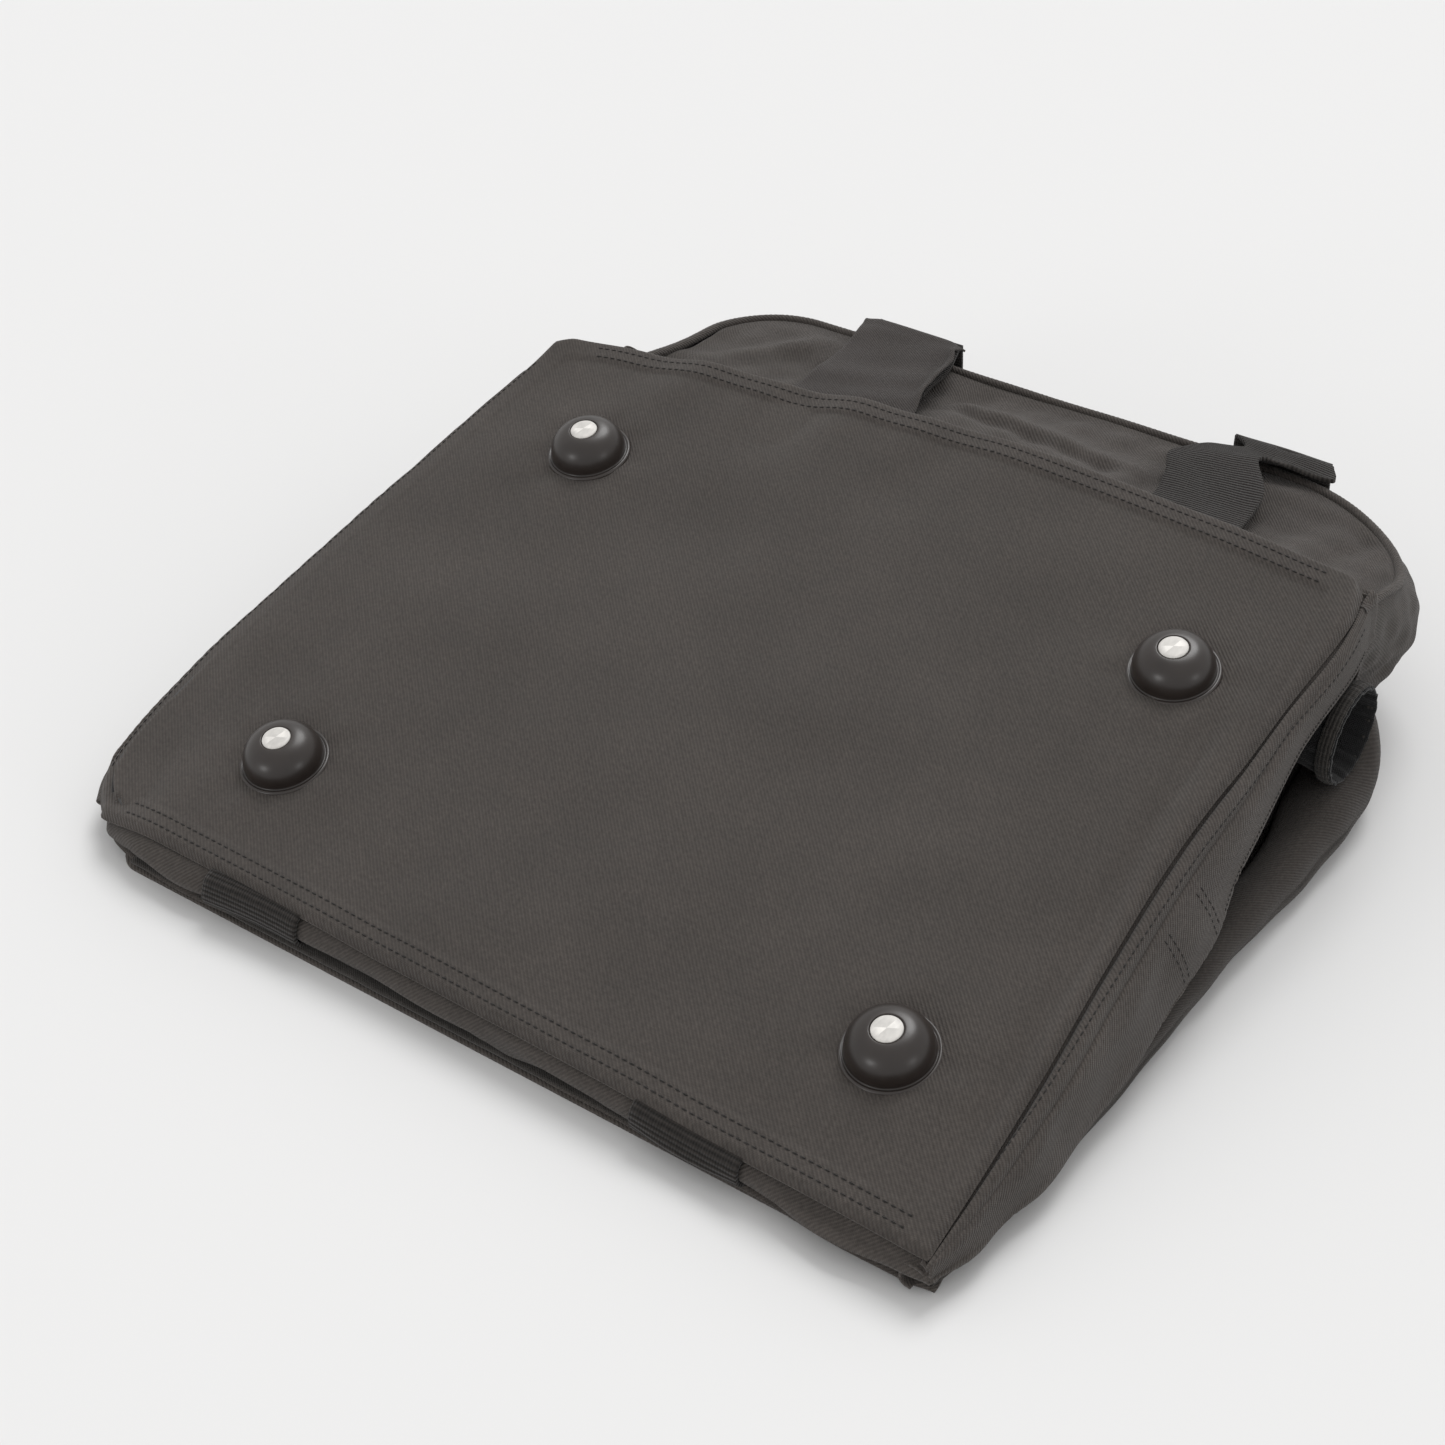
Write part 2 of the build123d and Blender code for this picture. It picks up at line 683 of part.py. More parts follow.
# ---- Zips ----
def zip_parts(prefix, plane, length):
    """A closed zip on a plane: local x runs along it, local z points away from the cloth.

    The slider is parked near the end at +x. Its pull hangs towards local -y from a pin
    along local x. Returns the middle of the pin."""
    with BuildPart() as tape:
        with BuildSketch(plane.offset(seat_clearance)):
            RectangleRounded(length, zip_tape_width, zip_tape_corner)
        extrude(amount=zip_tape_thickness)
    save(tape, f"{prefix}_zip_tape")

    coil_base = seat_clearance + zip_tape_thickness + layer_gap
    coil_length = length - 2 * zip_end_margin
    with BuildPart() as coil:
        with BuildSketch(plane.offset(coil_base)):
            Rectangle(coil_length, zip_coil_width)
        extrude(amount=zip_coil_depth)
        lengthwise = coil.edges().filter_by(Axis(plane.origin, plane.x_dir))
        chamfer(lengthwise, zip_coil_depth / 4)
    save(coil, f"{prefix}_zip_coil")

    with BuildPart() as stops:
        with BuildSketch(plane.offset(coil_base)):
            with GridLocations(coil_length + zip_stop_width + 2 * layer_gap, 1, 2, 1):
                Rectangle(zip_stop_width, zip_coil_width + 2 * zip_stop_overhang)
        extrude(amount=zip_coil_depth)
    save(stops, f"{prefix}_zip_stops")

    slider_x = coil_length / 2 - slider_length / 2
    slider_floor = coil_base + slider_clearance
    channel = zip_coil_width + 2 * slider_clearance
    pin_height = slider_floor + slider_depth - pull_thickness / 2
    body_end = -channel / 2 - slider_cheek
    pin_y = body_end - pin_reach
    lug_x = pull_width / 2 + slider_clearance + lug_width / 2
    lug_length = pin_reach + pull_thickness
    with BuildPart() as slider:
        with BuildSketch(plane.offset(slider_floor)):
            with Locations((slider_x, 0)):
                Rectangle(slider_length, channel + 2 * slider_cheek)
        extrude(amount=slider_depth)
        with BuildSketch(plane.offset(slider_floor)):
            with Locations((slider_x, 0)):
                Rectangle(slider_length, channel)
        extrude(amount=zip_coil_depth + slider_roof_gap, mode=Mode.SUBTRACT)
        with BuildSketch(plane.offset(pin_height - pull_thickness / 2)):
            with Locations(
                (slider_x - lug_x, body_end - lug_length / 2),
                (slider_x + lug_x, body_end - lug_length / 2),
            ):
                Rectangle(lug_width, lug_length)
        extrude(amount=pull_thickness)
        pin_start = plane.from_local_coords((slider_x - lug_x, pin_y, pin_height))
        with BuildSketch(Plane(origin=pin_start, x_dir=plane.y_dir, z_dir=plane.x_dir)):
            Circle(pin_radius)
        extrude(amount=2 * lug_x)
    save(slider, f"{prefix}_zip_slider")

    pull_start = plane.from_local_coords((slider_x - pull_width / 2, pin_y, pin_height))
    with BuildPart() as pull:
        with BuildSketch(Plane(origin=pull_start, x_dir=plane.y_dir, z_dir=plane.x_dir)):
            Circle(pin_radius + pin_clearance + eye_wall)
            with Locations((-pull_length / 2, 0)):
                Rectangle(pull_length, pull_thickness)
            Circle(pin_radius + pin_clearance, mode=Mode.SUBTRACT)
        extrude(amount=pull_width)
    save(pull, f"{prefix}_zip_pull")
    return plane.from_local_coords((slider_x, pin_y, pin_height))


outer_zip_plane = Plane(
    origin=(0, gusset_back_y, outer_zip_height), x_dir=(-1, 0, 0), z_dir=(0, 1, 0)
)
inner_zip_plane = Plane(
    origin=(0, inner_y, inner_bottom + inner_height), x_dir=(1, 0, 0), z_dir=(0, 0, 1)
)
outer_pin = zip_parts("outer", outer_zip_plane, outer_zip_length)
inner_pin = zip_parts("inner", inner_zip_plane, inner_zip_length)

print("outer pull pin", outer_pin)
print("inner pull pin", inner_pin)
print("back handle pivot", Vector(0, hang_y, arch_end_height))
foot_face = (*foot_points["front_right"], foot_height + rivet_head_stand)
print("foot face", base_plane.from_local_coords(foot_face))
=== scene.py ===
import math

import bmesh
import bpy
import numpy as np
from mathutils import Matrix, Vector


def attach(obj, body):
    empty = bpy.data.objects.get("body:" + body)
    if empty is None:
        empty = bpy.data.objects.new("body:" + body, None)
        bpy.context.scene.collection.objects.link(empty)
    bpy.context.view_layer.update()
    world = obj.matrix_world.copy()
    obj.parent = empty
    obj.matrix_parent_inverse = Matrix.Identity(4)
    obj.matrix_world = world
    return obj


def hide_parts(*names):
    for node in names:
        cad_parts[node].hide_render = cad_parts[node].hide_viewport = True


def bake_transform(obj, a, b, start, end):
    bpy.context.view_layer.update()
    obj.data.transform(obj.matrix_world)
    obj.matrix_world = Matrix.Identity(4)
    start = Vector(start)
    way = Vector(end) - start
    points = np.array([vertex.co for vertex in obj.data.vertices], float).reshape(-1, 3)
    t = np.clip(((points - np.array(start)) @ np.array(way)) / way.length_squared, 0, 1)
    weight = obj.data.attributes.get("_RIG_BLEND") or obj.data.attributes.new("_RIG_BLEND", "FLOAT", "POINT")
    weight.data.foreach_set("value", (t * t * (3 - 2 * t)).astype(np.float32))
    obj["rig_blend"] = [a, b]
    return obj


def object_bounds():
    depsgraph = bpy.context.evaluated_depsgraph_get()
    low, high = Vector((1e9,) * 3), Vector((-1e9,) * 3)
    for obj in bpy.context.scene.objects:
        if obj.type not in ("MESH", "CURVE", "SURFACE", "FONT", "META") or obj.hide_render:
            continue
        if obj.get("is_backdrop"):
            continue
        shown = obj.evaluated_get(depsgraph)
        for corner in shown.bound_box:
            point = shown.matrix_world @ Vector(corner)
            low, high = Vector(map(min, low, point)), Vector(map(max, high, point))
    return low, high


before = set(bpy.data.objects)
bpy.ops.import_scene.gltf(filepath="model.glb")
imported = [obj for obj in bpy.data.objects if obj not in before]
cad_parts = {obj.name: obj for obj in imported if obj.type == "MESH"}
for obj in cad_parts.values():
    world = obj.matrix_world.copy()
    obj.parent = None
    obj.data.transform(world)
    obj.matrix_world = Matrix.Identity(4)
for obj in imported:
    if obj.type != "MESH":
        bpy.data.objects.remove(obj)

# Lengths below are millimetres in the frame of the part; meshes are written in metres.
MM = 0.001
TILT = math.radians(13.5)
BASE_HEIGHT = 62.853
BASE_MIDDLE = (-14.0, 14.0)
FEET = {
    "front_left": (-154.5, -110.0),
    "front_right": (154.5, -110.0),
    "back_left": (-154.5, 110.0),
    "back_right": (154.5, 110.0),
}
SIDES = {"right": 1, "left": -1}
WALL_THICKNESS = 1.1
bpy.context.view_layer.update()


# ---- shapes


def on_base(u, v, h=0.0):
    """Point of the base: u along its long edge, v up its slope, h out of its face."""
    u, v, h = np.broadcast_arrays(np.asarray(u, float), v, h)
    y = v * math.cos(TILT) - h * math.sin(TILT)
    z = BASE_HEIGHT + v * math.sin(TILT) + h * math.cos(TILT)
    return np.stack([u, y, z], -1)


def curve(x, knots):
    """Smooth value at x through (x, value) knots."""
    knots = np.array(knots, float)
    kx, ky = knots[:, 0], knots[:, 1:]
    slope = np.gradient(ky, kx, axis=0)
    x = np.clip(np.asarray(x, float), kx[0], kx[-1])
    i = np.clip(np.searchsorted(kx, x) - 1, 0, len(kx) - 2)
    w = (kx[i + 1] - kx[i])[..., None]
    t = ((x - kx[i]) / w[..., 0])[..., None]
    a, b, c, d = ky[i], ky[i + 1], slope[i] * w, slope[i + 1] * w
    y = a + c * t + (3 * (b - a) - 2 * c - d) * t**2 + (2 * (a - b) + c + d) * t**3
    return y[..., 0] if y.shape[-1] == 1 else y


def unit(vectors):
    """The same vectors at length 1."""
    return vectors / np.maximum(np.linalg.norm(vectors, axis=-1, keepdims=True), 1e-9)


def together(*parts):
    """Arrays that broadcast to one shape, side by side on a last axis."""
    return np.stack(np.broadcast_arrays(*parts), -1)


def length_along(line):
    """Length from the start of a line to each of its points."""
    return np.concatenate([[0], np.cumsum(np.linalg.norm(np.diff(line, axis=0), axis=1))])


def evenly(line, count, endpoint=True):
    """Points spaced evenly along a line."""
    run = length_along(line)
    at = np.linspace(0, run[-1], count, endpoint=endpoint)
    return np.stack([np.interp(at, run, p) for p in line.T], -1)


def through(points, count, smooth=True):
    """Points spaced evenly along a curve through control points."""
    points = np.array(points, float)
    t = np.arange(len(points), dtype=float)
    fine = np.linspace(0, t[-1], 40 * len(points))
    if smooth:
        return evenly(curve(fine, np.column_stack([t, points])), count)
    return evenly(np.stack([np.interp(fine, t, p) for p in points.T], -1), count)


def folded(controls, count):
    """Grid of cloth through rows of control points, evenly spaced down the folds."""
    return np.stack([through(row, count) for row in controls])


def quarter_turn(x, y, radius, start, count):
    """A quarter circle about x and y, from an angle in degrees."""
    t = np.radians(np.linspace(start, start + 90, count))
    return np.stack([x + radius * np.cos(t), y + radius * np.sin(t)], -1)


def step(x, low, high):
    """0 below low, 1 above high, smooth in between."""
    t = np.clip((np.asarray(x, float) - low) / (high - low), 0, 1)
    return t * t * (3 - 2 * t)


def waves(a, b, seed, size, count=7):
    """Smooth random ripples over a and b, about size long and about -1 to 1 high."""
    random = np.random.default_rng(seed)
    total = 0.0
    for _ in range(count):
        angle, phase = random.uniform(0, math.pi), random.uniform(0, 2 * math.pi)
        length = size * random.uniform(0.6, 1.6)
        along = a * math.cos(angle) + b * math.sin(angle)
        total = total + np.sin(along * 2 * math.pi / length + phase)
    return total / math.sqrt(count) / 1.2


def crease(a, b, start, end, width):
    """1 along a segment in the plane of a and b, falling off over width and at its ends."""
    (ax, ay), (bx, by) = start, end
    length = math.hypot(bx - ax, by - ay)
    ux, uy = (bx - ax) / length, (by - ay) / length
    along = ((a - ax) * ux + (b - ay) * uy) / length
    off = (a - ax) * -uy + (b - ay) * ux
    ends = step(along, -0.05, 0.15) * (1 - step(along, 0.85, 1.05))
    return np.exp(-((off / width) ** 2)) * ends


# ---- meshes


def weld(mesh):
    """Joins the points that lie on each other."""
    made = bmesh.new()
    made.from_mesh(mesh)
    bmesh.ops.remove_doubles(made, verts=made.verts, dist=1e-6)
    made.to_mesh(mesh)
    made.free()


def place_object(name, data):
    """A new object of the scene for a mesh, lamp or camera."""
    obj = bpy.data.objects.new(name, data)
    bpy.context.scene.collection.objects.link(obj)
    return obj


def make_mesh(name, points, faces, uv=None):
    """Smooth-shaded mesh from points in mm, with its cloth coordinates in metres."""
    mesh = bpy.data.meshes.new(name)
    faces = faces.tolist() if isinstance(faces, np.ndarray) else faces
    mesh.from_pydata((np.asarray(points) * MM).tolist(), [], faces)
    mesh.polygons.foreach_set("use_smooth", [True] * len(mesh.polygons))
    if uv is not None:
        layer = mesh.uv_layers.new(name="cloth")
        at = np.zeros(len(mesh.loops), int)
        mesh.loops.foreach_get("vertex_index", at)
        layer.data.foreach_set("uv", (np.asarray(uv)[at] * MM).ravel())
    mesh.update()
    return place_object(name, mesh)


def grid_faces(rows, columns, close_rows=False, close_columns=False):
    """Quads of a grid, joined round when it closes on itself."""
    i = np.arange(rows if close_rows else rows - 1)
    j = np.arange(columns if close_columns else columns - 1)
    i, j = np.meshgrid(i, j, indexing="ij")
    n, m = (i + 1) % rows, (j + 1) % columns
    quads = [i * columns + j, n * columns + j, n * columns + m, i * columns + m]
    return np.stack(quads, -1).reshape(-1, 4)


def arc_uv(grid):
    """Cloth coordinates of a grid by length along its rows and its columns, in mm."""
    across = np.linalg.norm(np.diff(grid, axis=0), axis=-1).mean(1)
    down = np.linalg.norm(np.diff(grid, axis=1), axis=-1)
    u = np.concatenate([[0], np.cumsum(across)])[:, None] + 0 * grid[..., 0]
    v = np.concatenate([np.zeros((len(grid), 1)), np.cumsum(down, axis=1)], 1)
    return np.stack([u, v], -1)


def normals_of(grid):
    """Unit normals of a grid of points."""
    return unit(np.cross(np.gradient(grid, axis=0), np.gradient(grid, axis=1)))


def thicken(obj, thickness, offset=0.0):
    """Gives a sheet its thickness: about its middle at offset 0, all to one side at -1."""
    solidify = obj.modifiers.new("thickness", "SOLIDIFY")
    solidify.thickness = thickness * MM
    solidify.offset = offset
    solidify.use_even_offset = False
    return obj


# Whether a grid closes on itself along its rows and along its columns
OPEN = (False, False)
ROUND = (False, True)
RING = (True, True)


def cloth(name, grid, thickness=0, offset=0.0, uv=None, flip=False, closed=OPEN):
    """A sheet of cloth over a grid of points, open, round or closed to a ring."""
    faces = grid_faces(*grid.shape[:2], *closed)
    uv = arc_uv(grid) if uv is None else uv
    obj = make_mesh(name, grid.reshape(-1, 3), faces[:, ::-1] if flip else faces, uv.reshape(-1, 2))
    return thicken(obj, thickness, offset) if thickness else obj


def disc(name, grid, flat, thickness):
    """A sheet of rings round its middle, with its thickness below."""
    made = cloth(name, grid, uv=flat, flip=True, closed=ROUND)
    weld(made.data)
    return thicken(made, thickness, -1.0)


def tube(name, path, radius, sides=16):
    """A round cord along a path, with a radius for each of its points."""
    along = unit(np.gradient(path, axis=0))
    side = unit(np.cross(along, (0, 0, 1.0)))
    up = np.cross(side, along)
    angle = np.linspace(0, 2 * math.pi, sides, endpoint=False)
    ring = np.cos(angle)[:, None] * side[:, None] + np.sin(angle)[:, None] * up[:, None]
    points = path[:, None] + ring * radius[:, None, None]
    uv = together(length_along(path)[:, None], angle * radius.mean())
    faces = grid_faces(len(path), sides, *ROUND).tolist()
    faces.append(list(range(sides))[::-1])
    faces.append([(len(path) - 1) * sides + k for k in range(sides)])
    return make_mesh(name, points.reshape(-1, 3), faces, uv.reshape(-1, 2))


def lathe(name, profile, places, count=96):
    """Turned pieces: a profile of (radius, height) pairs spun about the base's normal."""
    radius, height = np.array(profile, float).T[..., None]
    angle = np.linspace(0, 2 * math.pi, count, endpoint=False)
    ring = grid_faces(len(profile), count, *ROUND)
    points = [on_base(u + radius * np.cos(angle), v + radius * np.sin(angle), height) for u, v in places]
    faces = [ring + len(profile) * count * k for k in range(len(points))]
    return make_mesh(name, np.concatenate(points).reshape(-1, 3), np.concatenate(faces))


def sample(grid, s, t):
    """Values of a grid at fractions s and t of its rows and columns."""
    rows, columns = grid.shape[:2]
    a, b = np.clip(s, 0, 1) * (rows - 1), np.clip(t, 0, 1) * (columns - 1)
    i, j = np.minimum(a.astype(int), rows - 2), np.minimum(b.astype(int), columns - 2)
    x, y = (a - i)[..., None], (b - j)[..., None]
    low = grid[i, j] * (1 - y) + grid[i, j + 1] * y
    high = grid[i + 1, j] * (1 - y) + grid[i + 1, j + 1] * y
    return low * (1 - x) + high * x


def threads(path, normal, pitch=3.6, length=2.7, width=0.9, height=0.4):
    """Points and faces of a row of stitches along a path, raised on its normals."""
    run = length_along(path)
    ends = np.linspace(-1, 1, 5)
    arc = np.linspace(0, math.pi, 5)[:, None]
    fat = np.sqrt(np.clip(1 - ends**2, 0.02, 1))[:, None, None]
    points = []
    for middle in np.arange(pitch / 2, run[-1], pitch):
        at = middle + ends * length / 2
        centre, up = (np.stack([np.interp(at, run, p) for p in line.T], -1) for line in (path, normal))
        ahead, behind = (np.array([np.interp(middle + d, run, p) for p in path.T]) for d in (0.5, -0.5))
        side = unit(np.cross(up, ahead - behind))
        out = np.cos(arc) * side[:, None] * width / 2
        out = out + (np.sin(arc) * 1.2 - 0.2) * up[:, None] * height
        points.append((centre[:, None] + out * fat).reshape(-1, 3))
    faces = [grid_faces(5, 5) + 25 * k for k in range(len(points))]
    return np.concatenate(points), np.concatenate(faces)


def join_parts(name, parts):
    """One mesh from several (points, faces) pairs."""
    points, faces, base = [], [], 0
    for p, f in parts:
        points.append(p)
        faces.append(f + base)
        base += len(p)
    points = np.concatenate(points)
    return make_mesh(name, points, np.concatenate(faces), points[:, :2] + points[:, 2:] * 0.7)


# ---- materials


class Shader:
    """Short ways to make the nodes of one material."""

    def __init__(self, name):
        self.material = bpy.data.materials.new(name)
        self.material.use_nodes = True
        self.tree = self.material.node_tree
        self.surface = self.tree.nodes["Principled BSDF"]

    def put(self, socket, value):
        if isinstance(value, bpy.types.NodeSocket):
            self.tree.links.new(value, socket)
        else:
            socket.default_value = value

    def fill(self, made, inputs):
        for key, value in inputs.items():
            self.put(made.inputs[key.replace("_", " ")], value)

    def finish(self, **inputs):
        self.fill(self.surface, inputs)
        return self.material

    def node(self, kind, **inputs):
        made = self.tree.nodes.new(kind)
        self.fill(made, inputs)
        return made

    def math(self, operation, a, b=0.0, c=0.0):
        made = self.tree.nodes.new("ShaderNodeMath")
        made.operation = operation
        for socket, value in zip(made.inputs, (a, b, c)):
            self.put(socket, value)
        return made.outputs[0]

    def sine(self, value, turns):
        return self.math("SINE", self.math("MULTIPLY", value, turns))

    def noise(self, vector, scale, detail=3.0, roughness=0.55):
        grain = {"Scale": scale, "Detail": detail, "Roughness": roughness}
        return self.node("ShaderNodeTexNoise", Vector=vector, **grain).outputs["Fac"]

    def streaks(self, vector, scale, detail, roughness=0.55):
        drawn_out = self.node("ShaderNodeMapping", Vector=vector, Scale=scale)
        return self.noise(drawn_out.outputs[0], 1.0, detail, roughness)

    def span(self, value, low, high, start=0.3, end=0.7):
        ends = {"From_Min": start, "From_Max": end, "To_Min": low, "To_Max": high}
        return self.node("ShaderNodeMapRange", Value=value, **ends).outputs[0]

    def edges(self, low, high, start=0.48, end=0.6):
        """From low in hollows to high on edges: painted shade darkens the hollows, and the edges are lighter
        with wear.
        """
        sharp = self.node("ShaderNodeNewGeometry").outputs["Pointiness"]
        return self.span(sharp, low, high, start, end)

    def tint(self, colour, *factors):
        product = factors[0]
        for factor in factors[1:]:
            product = self.math("MULTIPLY", product, factor)
        made = self.tree.nodes.new("ShaderNodeVectorMath")
        made.operation = "SCALE"
        made.inputs[0].default_value = colour
        self.put(made.inputs["Scale"], product)
        self.put(self.surface.inputs["Base Color"], made.outputs[0])

    def bump(self, height, distance, strength):
        made = self.node("ShaderNodeBump", Height=height, Distance=distance, Strength=strength)
        self.put(self.surface.inputs["Normal"], made.outputs[0])

    def coordinates(self, mapped=False):
        if not mapped:
            return self.node("ShaderNodeTexCoord").outputs["Object"]
        made = self.node("ShaderNodeUVMap")
        made.uv_map = "cloth"
        return made.outputs[0]


def fabric(name, colour, weave="twill", pitch=1.4, contrast=0.16, depth=0.25, mapped=True):
    """Woven cloth. weave is twill, plain or ribs; pitch is its spacing and depth its relief in mm."""
    s = Shader(name)
    place = s.coordinates(mapped)
    split = s.node("ShaderNodeSeparateXYZ", Vector=place)
    u, v = split.outputs[0], split.outputs[1]
    if not mapped:
        u = s.math("ADD", u, s.math("MULTIPLY", split.outputs[2], 0.7))
        v = s.math("ADD", v, s.math("MULTIPLY", split.outputs[2], 0.6))
    turn = 2 * math.pi / (pitch * MM)
    if weave == "twill":
        diagonal = s.sine(s.math("ADD", u, v), turn * 0.71)
        height = s.math("MULTIPLY_ADD", s.sine(s.math("SUBTRACT", u, v), turn * 1.42), 0.3, diagonal)
    elif weave == "ribs":
        height = s.math("MULTIPLY_ADD", s.sine(u, turn * 1.6), 0.25, s.sine(v, turn))
    else:
        height = s.math("MULTIPLY", s.sine(u, turn), s.sine(v, turn))
    speckle = s.noise(place, 520.0, 2.0)
    slub = s.noise(place, 90.0, 4.0)
    cloud = s.noise(place, 14.0, 3.0)
    height = s.math("MULTIPLY_ADD", speckle, 1.4, height)
    s.tint(
        colour,
        s.span(height, 1 - contrast, 1 + contrast, -0.4, 1.8),
        s.span(slub, 0.92, 1.08),
        s.span(cloud, 0.9, 1.1),
        s.span(speckle, 0.76, 1.02),
        # Painted shade in the hollows of folds and creases; worn edges lighter
        s.edges(0.8, 1.25, 0.42),
    )
    s.bump(height, depth * MM, 0.6)
    roughness = s.span(slub, 0.78, 0.95)
    return s.finish(Roughness=roughness, Sheen_Weight=0.1, Sheen_Roughness=0.5, Specular_IOR_Level=0.18)


def moulded(name, colour, roughness, coat, grain=900.0):
    """Moulded plastic with fine grain, rubbed patches, small scratches, worn edges and painted shade in its
    hollows.
    """
    s = Shader(name)
    place = s.coordinates()
    fine, patch = s.noise(place, grain, 2.0), s.noise(place, 60.0, 5.0)
    scratch = s.streaks(place, (60.0, 900.0, 200.0), 6.0, 0.7)
    # Painted shade darkens the hollows; worn edges are lighter
    s.tint(colour, s.span(patch, 0.75, 1.05), s.edges(0.85, 1.4), s.span(scratch, 0.95, 1.1, 0.55, 0.75))
    s.bump(s.math("ADD", fine, s.math("MULTIPLY", scratch, 1.5)), 0.03 * MM, 0.5)
    rough = s.span(patch, roughness * 0.8, roughness * 1.25)
    return s.finish(Roughness=rough, Coat_Weight=coat, Coat_Roughness=0.28, Specular_IOR_Level=0.32)


def metal(name, colour, roughness, metallic):
    """Brushed or coated metal with rubbed edges, painted shade in its hollows and handling marks."""
    s = Shader(name)
    place = s.coordinates()
    lines, patch = s.streaks(place, (900.0, 260.0, 400.0), 3.0), s.noise(place, 240.0, 4.0)
    # Painted shade darkens the hollows; rubbed edges are lighter
    s.tint(colour, s.span(patch, 0.8, 1.02), s.span(lines, 0.94, 1.06), s.edges(0.9, 1.35))
    s.bump(s.math("ADD", lines, patch), 0.02 * MM, 0.5)
    return s.finish(Roughness=s.span(patch, roughness * 0.8, roughness * 1.3), Metallic=metallic)


FABRICS = {  # colour, weave, pitch, contrast, depth, whether it has cloth coordinates
    "canvas": ((0.058, 0.0505, 0.0455),),
    "canvas_dark": ((0.033, 0.0275, 0.0248),),
    # The rolls' copy of the canvas, darker: painted shade for the rolls low under the folded side walls
    "canvas_roll_painted_shade": ((0.043, 0.037, 0.033),),
    "lining": ((0.012, 0.012, 0.0125), "plain", 1.1, 0.2),
    "binding": ((0.04, 0.0365, 0.0335), "plain", 1.2, 0.22),
    "thread": ((0.026, 0.0235, 0.022), "plain", 0.7, 0.3, 0.25, False),
    "webbing": ((0.021, 0.0182, 0.0165), "ribs", 2.0, 0.5, 0.7),
    "elastic": ((0.034, 0.0305, 0.0275), "ribs", 1.6, 0.3, 0.4),
    "zip_tape": ((0.022, 0.021, 0.02), "ribs", 1.1, 0.3),
}
PLASTICS = {  # colour, roughness, coat, scale of the grain
    "zip_coil": ((0.02, 0.02, 0.02), 0.5, 0.0),
    "board": ((0.05, 0.05, 0.05), 0.6, 0.0, 300.0),
    "foot_plastic": ((0.021, 0.0155, 0.013), 0.36, 0.35),
}
METALS = {  # colour, roughness, metallic
    "rivet": ((0.56, 0.545, 0.52), 0.6, 0.25),
    "slider": ((0.05, 0.046, 0.042), 0.42, 0.4),
}
materials = {
    name: make(name, *look)
    for make, looks in ((fabric, FABRICS), (moulded, PLASTICS), (metal, METALS))
    for name, look in looks.items()
}


def finish_piece(obj, slot, body=None, nodes=(), look=None):
    """Gives a piece the material of its slot, or of its look, and its body, and hides the CAD nodes it stands
    for.
    """
    obj.data.materials.clear()
    obj.data.materials.append(materials[look or slot])
    if body:
        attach(obj, body)
    if nodes:
        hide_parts(*nodes)
    return obj


def stretch(obj, weights):
    """The cloth follows the bag where its weight is 0 and the base where it is 1."""
    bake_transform(obj, "bag", "base", (0, 0, 0), (0, 0, 0.1))
    layer = obj.data.attributes["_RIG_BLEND"]
    weights = np.asarray(weights, np.float32).ravel()
    layer.data.foreach_set("value", np.tile(weights, len(layer.data) // len(weights)))


# ---- base panel

FRONT_EDGE = [(-216, -166.5), (-203, -170.2), (-100, -171), (60, -174), (150, -176), (213, -177.5)]
RIGHT_EDGE = [(213, -177.5), (209, -90), (204, -30), (201.5, 30), (203.5, 110), (206, 165), (203, 186)]
BACK_EDGE = [
    (197, 194.5), (120, 201), (30, 205), (-40, 201), (-97, 195), (-150, 188), (-190, 182), (-212, 175),
]
LEFT_EDGE = [
    (-220, 168), (-226, 115), (-230, 55), (-235, -20), (-237.5, -80), (-235.5, -128), (-232, -148),
    (-224.5, -160),
]


def base_outline(count):
    """Evenly spaced points round the edge of the base cover, from the front left corner."""
    sides = [through(edge, 200) for edge in (FRONT_EDGE, RIGHT_EDGE, BACK_EDGE, LEFT_EDGE)]
    return evenly(np.concatenate([*sides, sides[0][:1]]), count, endpoint=False)


def edge_distance(points, outline):
    """Distance from each point to a closed outline."""
    a, b = outline, np.roll(outline, -1, axis=0)
    best, block = [], 4000
    for first in range(0, len(points), block):
        p = points[first : first + block, None]
        t = np.clip(((p - a) * (b - a)).sum(-1) / ((b - a) ** 2).sum(-1), 0, 1)
        best.append(np.linalg.norm(p - a - t[..., None] * (b - a), axis=-1).min(1))
    return np.concatenate(best)


